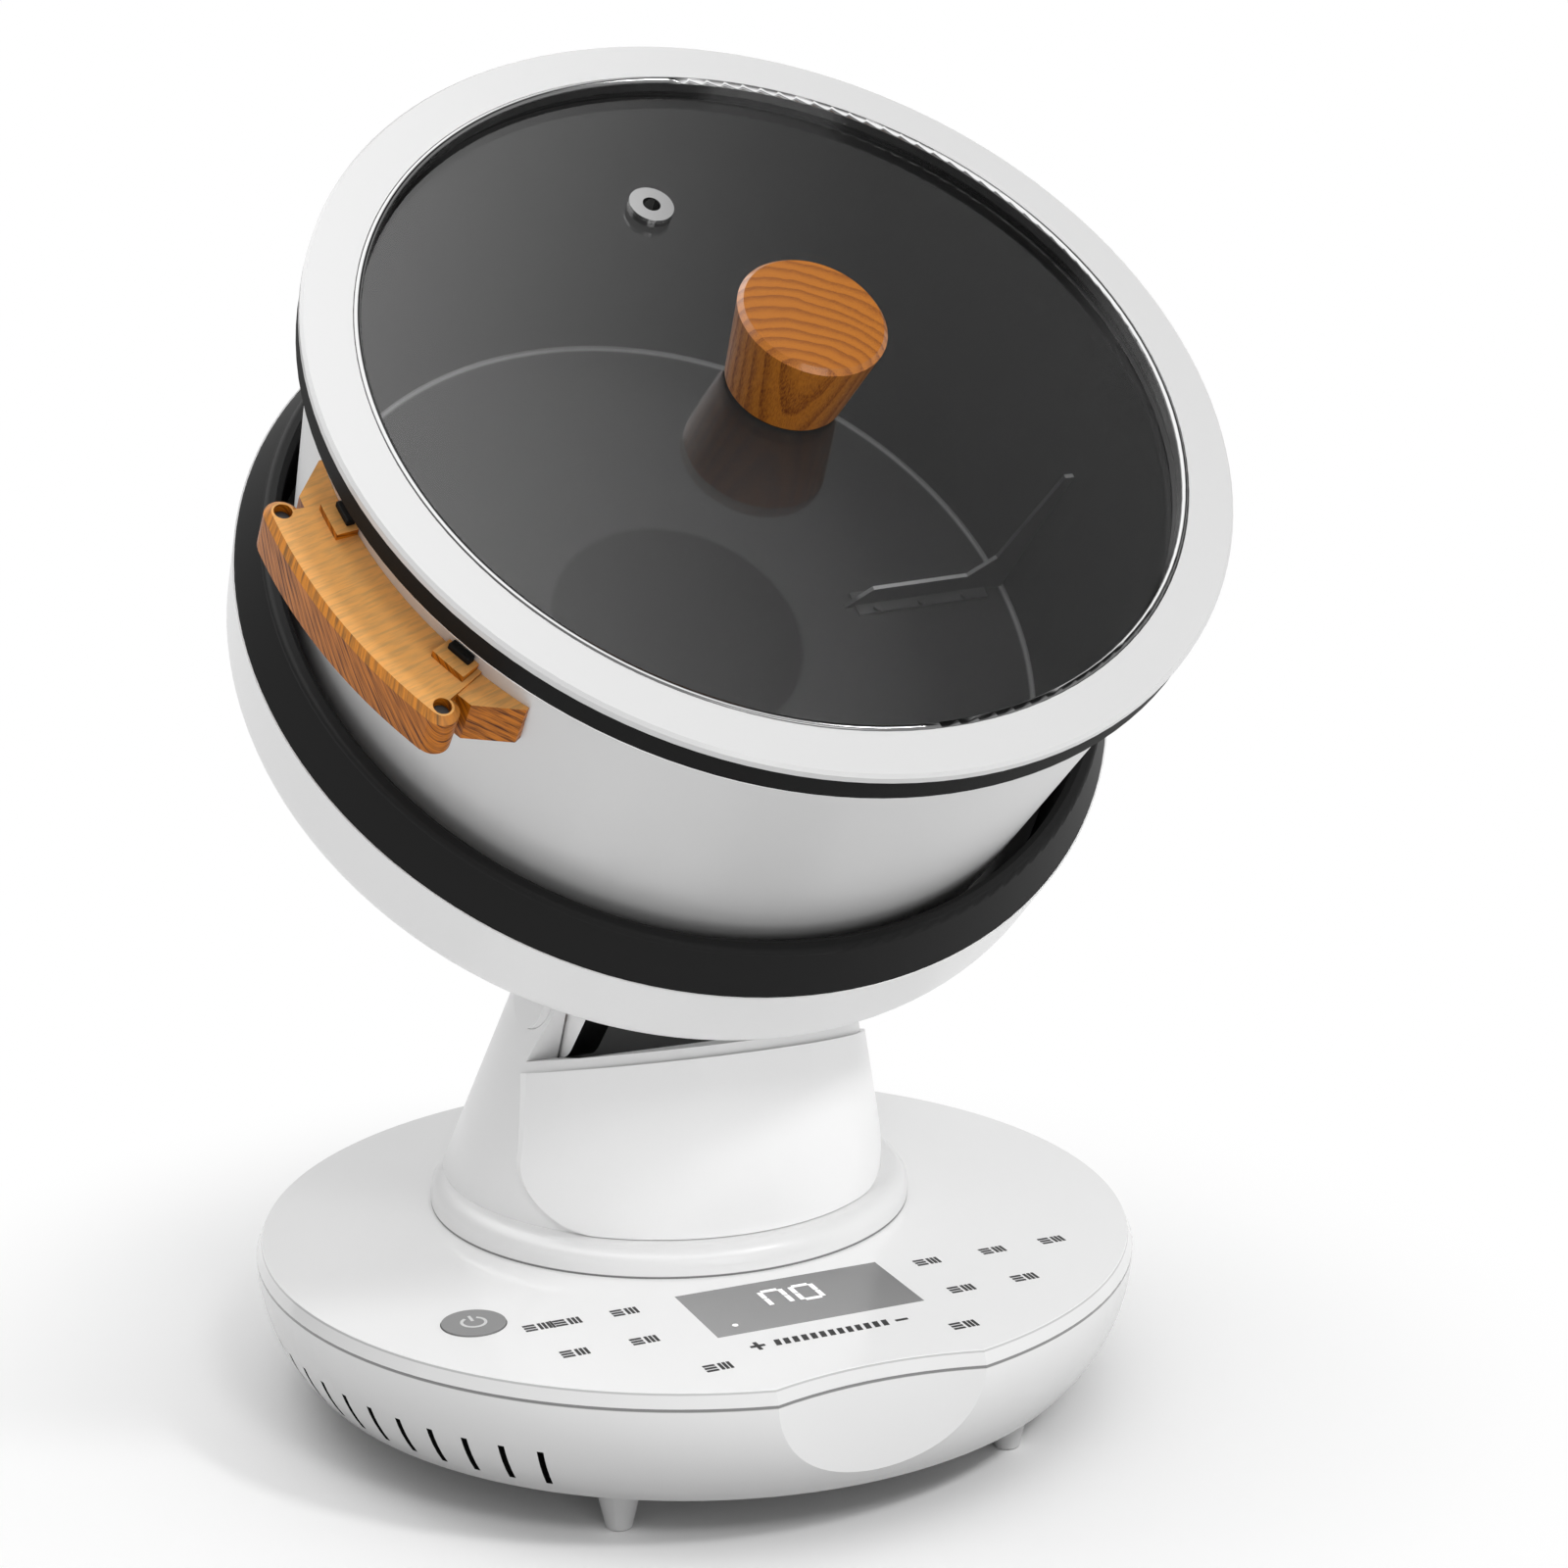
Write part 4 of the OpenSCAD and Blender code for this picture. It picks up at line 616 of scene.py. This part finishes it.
GRIP_MIDDLE = math.radians(-157)
knob_wood = wooden("knob wood", turn=0.0, lean=0.05, trunk=(-8, -40, 0), stretch=(1, 1, 1),
                   pale=linear(0.68, 0.41, 0.11), dark=linear(0.36, 0.15, 0.01), gloss=0.5,
                   Spacing=4.2, Wobble=6.0, Contrast=0.5, Fibre=1.2)
grip_wood = wooden("grip wood", turn=-GRIP_MIDDLE - math.radians(90), lean=0.8, trunk=(900, 0, 0),
                   stretch=(0.45, 0.04, 0.45), pale=linear(0.74, 0.43, 0.07), dark=linear(0.28, 0.11, 0.0),
                   gloss=0.02, lit_top_tone=linear(0.95, 0.74, 0.46),
                   Spacing=1.1, Wobble=1.4, Contrast=0.5, Fibre=1.4)
print("woods made")

# %% [markdown]
# The circuit boards are only seen with the panel off: green laminate with paler copper tracks. A picture of
# a real board would show more, but the Brick texture gives a fine grid of tracks at the right scale, and the
# file needs no image.

# %% Boards
board_green, tree, shader = new_material("board laminate", roughness=0.4)
place = add_node(tree, "ShaderNodeTexCoord").outputs["Object"]
cells = add_node(tree, "ShaderNodeTexBrick",
                 {"Vector": place, "Scale": 160.0, "Mortar Size": 0.08, "Color1": linear(0.1, 0.34, 0.2),
                  "Color2": linear(0.12, 0.38, 0.22), "Mortar": linear(0.3, 0.5, 0.3)})
join(tree, [(cells.outputs["Color"], shader.inputs["Base Color"])])
print("boards made")

# %% [markdown]
# The display's window is smoked plastic: mid grey, a little paler towards one corner as if a backlight
# leaked through. A small lamp behind it could do that, but a slow gradient in its colour looks the same from
# every side and stays with the model when it is exported.

# %% Display window
GLOW_WAY = (-6.0, -8.0, 0.0)
display_grey, tree, shader = new_material("display window", roughness=0.2, coat_weight=0.3)
place = add_node(tree, "ShaderNodeTexCoord").outputs["Object"]
glow = ramp(tree, vector_maths(tree, "DOT_PRODUCT", place, GLOW_WAY), 0.45, 1.05)
join(tree, [(mix_colour(tree, glow, grey(0.46), grey(0.57)), shader.inputs["Base Color"])])
print("display window made")

# %% [markdown]
# Now each CAD node gets its finish. Its shape stays as it is, and only the material in its slot changes. A
# dictionary from finish to nodes keeps all of it in one place, and a last line names any node left bare.

# %% Dress the CAD nodes
finishes = {
    base_white: ["base_shell"],
    panel_white: ["control_panel"],
    column_white: ["pivot_caps"],
    fork_white: ["column_shell"],
    yoke_white: ["tilt_yoke"],
    collar_white: ["column_collar"],
    apron_painted_lighter: ["column_apron"],
    dish_white: ["head_shell", "motor_cover"],
    plate_grey: ["base_plate", "coil_tray"],
    foot_rubber: ["feet"],
    key_grey: ["power_key"],
    display_grey: ["display_window"],
    fan_black: ["fan_frame", "fan_rotor", "display_module", "key_switch", "mains_inlet"],
    ring_black: ["bezel_ring"],
    deck_black: ["deck_plate", "grip_screws"],
    seal_black: ["lid_seal", "knob_washer"],
    fibre_brown: ["friction_washers"],
    nylon_ivory: ["hub_gear", "motor_pinion"],
    board_green: ["panel_board", "main_board"],
    steel: ["base_screws", "column_screws", "yoke_bolts", "knob_screw", "tilt_axle", "inlet_pins",
            "motor_bracket", "temperature_sensor"],
    cast_aluminium: ["power_stage"],
    hub_aluminium: ["drive_hub", "drive_dogs", "pot_coupling"],
    bronze: ["hub_bush", "yoke_bushes"],
    copper: ["heating_coil"],
    motor_paint: ["gear_motor"],
    jacket_steel: ["pot_jacket"],
    bead_white: ["pot_bead"],
    rim_white: ["lid_rim"],
    chrome: ["steam_eyelet"],
    trim_steel: ["lid_trim"],
    pan_coating: ["pot_pan"],
    fin_steel: ["stir_fin", "fin_rivets"],
    lid_glass: ["lid_glass"],
    knob_wood: ["lid_knob"],
    grip_wood: ["left_grip", "right_grip", "left_blocks", "right_blocks"],
}
for finish, names in finishes.items():
    for name in names:
        nodes[name].data.materials.clear()
        nodes[name].data.materials.append(finish)
undressed = sorted(set(nodes) - {n for names in finishes.values() for n in names})
print("dressed", sum(map(len, finishes.values())), "nodes, left bare:", undressed)

# %% [markdown]
# The panel's marks are printed on. Each is a thin plate a tenth of a millimetre high: a flat outline on the
# panel, raised by extruding its face. All outlines of one print are joined into one object. A picture could
# do the same, but real geometry stays sharp from near and needs no image.

# %% Printing helpers
MARK_HEIGHT = 0.12 * MM


def new_object(name, mesh, finish):
    bmesh.ops.recalc_face_normals(mesh, faces=mesh.faces)
    data = bpy.data.meshes.new(name)
    mesh.to_mesh(data)
    data.materials.append(finish)
    piece = bpy.data.objects.new(name, data)
    bpy.context.scene.collection.objects.link(piece)
    return piece


def printed(name, outlines, level, finish, body):
    mesh = bmesh.new()
    for outline in outlines:
        face = mesh.faces.new([mesh.verts.new((x * MM, y * MM, level)) for x, y in outline])
        raised = bmesh.ops.extrude_face_region(mesh, geom=[face])
        tops = [v for v in raised["geom"] if isinstance(v, bmesh.types.BMVert)]
        bmesh.ops.translate(mesh, verts=tops, vec=(0, 0, MARK_HEIGHT))
    piece = new_object(name, mesh, finish)
    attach(piece, body)
    print(name, len(outlines), "shapes")
    return piece


def bar(x, y, width, depth, slant=0.0):
    w, d = width / 2, depth / 2
    return [(x - w - slant, y - d), (x + w - slant, y - d), (x + w + slant, y + d), (x - w + slant, y + d)]


def speckled(name, first, second, scale=900.0, **sockets):
    material, tree, shader = new_material(name, **sockets)
    tone = mix_colour(tree, noise(tree, scale), grey(first), grey(second))
    join(tree, [(tone, shader.inputs["Base Color"])])
    return material, tree, shader, tone


print("printing helpers ready")

# %% [markdown]
# Each touch field carries a small generic mark: three level strokes and three upright ones, set out by a
# loop over the fields' places. One field has two marks with a divider. Below the display, slanted ticks
# between a plus and a minus make the heat scale. Places are in millimetres from the base's middle.

# %% Panel labels and heat scale
DIVIDER = (-81.5, -75, 0.8, 5.4)
LABEL_PLACES = [(-86.6, -75), (-76.4, -75), (-56.6, -75), (-82.5, -99), (-59, -99), (-45.6, -127.5),
                (53.5, -77), (79, -77), (102.5, -77), (53, -103), (77, -103), (39.5, -130)]
LEVEL_STROKE, LEVEL_STEP = (4.0, 1.1), 1.9
UPRIGHT_STROKE, UPRIGHT_STEP = (1.0, 4.9), 1.5
STROKE_OFFSET = 2.5
SCALE_START, SCALE_LENGTH, SCALE_Y = -21, 38, -118
TICK_COUNT, TICK, TICK_SLANT = 13, (1.9, 4.2), 0.3
PLUS_X, PLUS_WIDTH, PLUS_ARM, PLUS_STEP = -28, 5.0, 2.3, 1.8
MINUS_X, MINUS_WIDTH = 23, 4.4
SIGN_STROKE = 1.3

ink, *_ = speckled("panel ink", 0.05, 0.1, roughness=0.5)
labels = [bar(*DIVIDER)]
for x, y in LABEL_PLACES:
    labels += [bar(x - STROKE_OFFSET, y + row * LEVEL_STEP, *LEVEL_STROKE) for row in (-1, 0, 1)]
    labels += [bar(x + STROKE_OFFSET + row * UPRIGHT_STEP, y, *UPRIGHT_STROKE) for row in (-1, 0, 1)]
printed("panel_labels", labels, PANEL_TOP, ink, "base")
tick_step = SCALE_LENGTH / (TICK_COUNT - 1)
marks = [bar(SCALE_START + tick_step * i, SCALE_Y, *TICK, TICK_SLANT) for i in range(TICK_COUNT)]
marks += [bar(PLUS_X, SCALE_Y, PLUS_WIDTH, SIGN_STROKE)]
marks += [bar(PLUS_X, SCALE_Y + row * PLUS_STEP, SIGN_STROKE, PLUS_ARM) for row in (1, -1)]
marks += [bar(MINUS_X, SCALE_Y, MINUS_WIDTH, SIGN_STROKE)]
printed("heat_scale", marks, PANEL_TOP, ink, "base")

# %% [markdown]
# The display shows two lit digits and a small lit dot. Each digit is built from the bars of a common
# segment display. They glow faintly, so they stay readable on the grey window.

# %% Display digits
DIGIT_WIDTH, DIGIT_HEIGHT, DIGIT_STROKE = 7.4, 11.6, 1.7
LEFT_DIGIT, RIGHT_DIGIT = (-6.5, -84), (4.7, -84)
DOT = (-28, -100, 1.0)
lit, tree, shader, lit_tone = speckled("lit white", 0.92, 1.0, 500.0, roughness=0.4, emission_strength=0.35)
join(tree, [(lit_tone, shader.inputs["Emission Color"])])


def digit(x, y, bars):
    side, half = DIGIT_WIDTH / 2, DIGIT_HEIGHT / 2
    level = (DIGIT_WIDTH - DIGIT_STROKE, DIGIT_STROKE)
    upright = (DIGIT_STROKE, half - DIGIT_STROKE * 0.4)
    places = {"top": (0, half, *level), "bottom": (0, -half, *level),
              "upper_left": (-side, half / 2, *upright), "upper_right": (side, half / 2, *upright),
              "lower_left": (-side, -half / 2, *upright), "lower_right": (side, -half / 2, *upright)}
    return [bar(x + dx, y + dy, *size) for dx, dy, *size in (places[name] for name in bars)]


def disc(x, y, radius, count=20):
    angles = [2 * math.pi * i / count for i in range(count)]
    return [(x + radius * math.cos(a), y + radius * math.sin(a)) for a in angles]


ring_of_bars = ["top", "upper_left", "upper_right", "lower_left", "lower_right", "bottom"]
digits = digit(*LEFT_DIGIT, ring_of_bars[:-1]) + digit(*RIGHT_DIGIT, ring_of_bars)
printed("display_digits", digits + [disc(*DOT)], PANEL_TOP, lit, "base")

# %% [markdown]
# The power key carries the usual open ring with a bar, printed in a pale ink that doesn't glow. It rides on
# the key, so it goes down with it.

# %% Key icon
KEY_X, KEY_Y = -104.5, -64.0
KEY_TOP = PANEL_TOP + 0.5 * MM


def arc_band(x, y, inner, outer, start, end, count=24):
    angles = [math.radians(start + (end - start) * i / count) for i in range(count + 1)]
    outside = [(x + outer * math.cos(a), y + outer * math.sin(a)) for a in angles]
    inside = [(x + inner * math.cos(a), y + inner * math.sin(a)) for a in reversed(angles)]
    return outside + inside


key_ink, *_ = speckled("key ink", 0.8, 0.86, roughness=0.5)
icon = [arc_band(KEY_X, KEY_Y, 3.4, 4.4, 120, 420), bar(KEY_X, KEY_Y + 3.2, 1.0, 4.2)]
printed("key_icon", icon, KEY_TOP, key_ink, "power_key")

# %% [markdown]
# Where each grip's bosses meet the pot, a small black bracket sits against the wall. A bracket is a
# short piece of a ring, so its corners are set out by angle, radius and height in the head's frame: four
# to a section, with a few sections along the arc. A bevel modifier rounds its edges.

# %% Grip brackets
BRACKET_ENDS = [(-169.8, -166.6), (-147.4, -144.2), (10.2, 13.4), (32.6, 35.8)]
BRACKET_INNER, BRACKET_OUTER = 145.3, 148.2
BRACKET_LOW, BRACKET_HIGH = 95.05, 97.4
BRACKET_PARTS = 4
SECTION = [(BRACKET_INNER, BRACKET_LOW), (BRACKET_OUTER, BRACKET_LOW), (BRACKET_OUTER, BRACKET_HIGH),
           (BRACKET_INNER, BRACKET_HIGH)]


def ring_piece(mesh, start, end):
    rows = []
    for i in range(BRACKET_PARTS + 1):
        angle = math.radians(start + (end - start) * i / BRACKET_PARTS)
        corners = [Vector((r * math.cos(angle), r * math.sin(angle), t)) * MM for r, t in SECTION]
        rows.append([mesh.verts.new(HEAD_FRAME @ corner) for corner in corners])
    for near, far in zip(rows, rows[1:]):
        for k in range(len(SECTION)):
            mesh.faces.new((near[k], near[k - 1], far[k - 1], far[k]))
    mesh.faces.new(rows[0])
    mesh.faces.new(reversed(rows[-1]))


mesh = bmesh.new()
for start, end in BRACKET_ENDS:
    ring_piece(mesh, start, end)
brackets = new_object("grip_brackets", mesh, seal_black)
rounding = brackets.modifiers.new("rounding", "BEVEL")
rounding.width, rounding.segments = 0.5 * MM, 2
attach(brackets, "pot")
print("grip brackets", len(BRACKET_ENDS))

# %% [markdown]
# The stage is a pale floor that keeps the machine's soft shadow and fades into a white surround, so the
# picture has no horizon. Far from the machine the floor shines plain white for the camera, mirrors and
# glass. For light that bounces off it, the floor near the machine is grey and the floor further out is lit,
# as it would be under a wide studio light: that brightens the undersides and keeps the shadow.

# %% Floor
WHITE = (1, 1, 1, 1)
FADE = (0.13, 0.36)
FLOOR_LIGHT = 1.0
floor_paint, tree, shader = new_material("stage floor", roughness=0.8, base_color=grey(0.97))
place = add_node(tree, "ShaderNodeTexCoord").outputs["Object"]
far = ramp(tree, vector_maths(tree, "LENGTH", place), *FADE, smooth=True)
path = add_node(tree, "ShaderNodeLightPath").outputs
seen = maths(tree, "ADD", path["Is Camera Ray"], path["Is Glossy Ray"])
seen = maths(tree, "ADD", seen, path["Is Transmission Ray"], clamp=True)
white_out = maths(tree, "MULTIPLY", far, seen)
glow = add_node(tree, "ShaderNodeEmission", {0: WHITE, 1: 1.0}).outputs[0]
near_floor = add_node(tree, "ShaderNodeBsdfDiffuse", {0: grey(0.5)}).outputs[0]
lit_floor = add_node(tree, "ShaderNodeEmission", {0: WHITE, 1: FLOOR_LIGHT}).outputs[0]
bounce = mix_shader(tree, far, near_floor, lit_floor)
paint = mix_shader(tree, path["Is Diffuse Ray"], shader.outputs[0], bounce)
blend = mix_shader(tree, white_out, paint, glow)
join(tree, [(blend, tree.nodes["Material Output"].inputs["Surface"])])
bpy.ops.mesh.primitive_plane_add(size=20, location=(0, 0, 0))
floor = bpy.context.object
floor.name = "floor"
floor.data.materials.append(floor_paint)
print("floor laid")

# %% [markdown]
# The world is a soft studio: walls that are a little brighter towards the front right, and a ceiling.
# Mirrors see a ceiling that is very bright on the left and dark on the right, so the glass shows a slow
# gradient, while matt surfaces get one even ceiling. The camera and glass see the surround as plain white.

# %% Studio surround
CEILING_LIGHT = 0.7
CEILING_MIRRORED = (4.4, 0.03)
WALL_LIGHT = (0.4, 0.55)
WALL_MIRRORED = (0.4, 0.8)
FRONT_RIGHT = (0.8, -0.55, 0.2)
world = bpy.data.worlds.new("studio")
world.use_nodes = True
bpy.context.scene.world = world
tree = world.node_tree
backdrop = tree.nodes["Background"]
backdrop.inputs["Color"].default_value = WHITE
way = add_node(tree, "ShaderNodeTexCoord").outputs["Generated"]
x, y, z = add_node(tree, "ShaderNodeSeparateXYZ", {0: way}).outputs
path = add_node(tree, "ShaderNodeLightPath").outputs
ceiling_side = ramp(tree, x, 0.1, 0.46, smooth=True)
ceiling_seen = ramp(tree, ceiling_side, 0.0, 1.0, *CEILING_MIRRORED)
is_ceiling = ramp(tree, z, 0.45, 0.75, smooth=True)
side = ramp(tree, vector_maths(tree, "DOT_PRODUCT", way, FRONT_RIGHT), -0.8, 0.8, smooth=True)
wall_light = ramp(tree, side, 0.0, 1.0, *WALL_LIGHT)
wall_seen = ramp(tree, side, 0.0, 1.0, *WALL_MIRRORED)
walls = mix_value(tree, path["Is Glossy Ray"], wall_light, wall_seen)
ceiling = mix_value(tree, path["Is Glossy Ray"], CEILING_LIGHT, ceiling_seen)
room = mix_value(tree, is_ceiling, walls, ceiling)
seen = maths(tree, "ADD", path["Is Camera Ray"], path["Is Transmission Ray"], clamp=True)
join(tree, [(mix_value(tree, seen, room, 1.0), backdrop.inputs["Strength"])])
print("surround ready")

# %% [markdown]
# Five soft boxes do the shaping. The small key box stands high at the front right and draws the lid's edge
# on the pot. A small box high in front lets the dish shade the top of the column. A large low one fills the
# front, a weak one eases the left side, and one above lifts the top. Two of them are hidden from mirrors,
# so the lid's glass shows no bright squares.

# %% Soft boxes
def soft_box(name, place, aim, size, watts, mirrored=True):
    lamp = bpy.data.lights.new(name, "AREA")
    lamp.shape, lamp.size, lamp.energy = "SQUARE", size, watts
    box = bpy.data.objects.new(name, lamp)
    bpy.context.scene.collection.objects.link(box)
    box.location = place
    box.rotation_euler = (Vector(aim) - Vector(place)).to_track_quat("-Z", "Y").to_euler()
    box.visible_glossy = mirrored
    print(name, watts, "W")


soft_box("key_box", place=(0.85, -1.4, 1.8), aim=(0, 0, 0.3), size=0.25, watts=14)
soft_box("low_front_box", place=(0.0, -2.0, 0.12), aim=(0, 0, 0.15), size=1.0, watts=8)
soft_box("high_front_box", place=(0.0, -1.5, 1.5), aim=(0, 0, 0.15), size=0.35, watts=6.5, mirrored=False)
soft_box("left_box", place=(-1.9, -0.3, 0.18), aim=(0, 0, 0.18), size=0.7, watts=1.0)
soft_box("top_box", place=(-0.8, 0.3, 2.0), aim=(0, 0, 0.2), size=1.0, watts=6, mirrored=False)
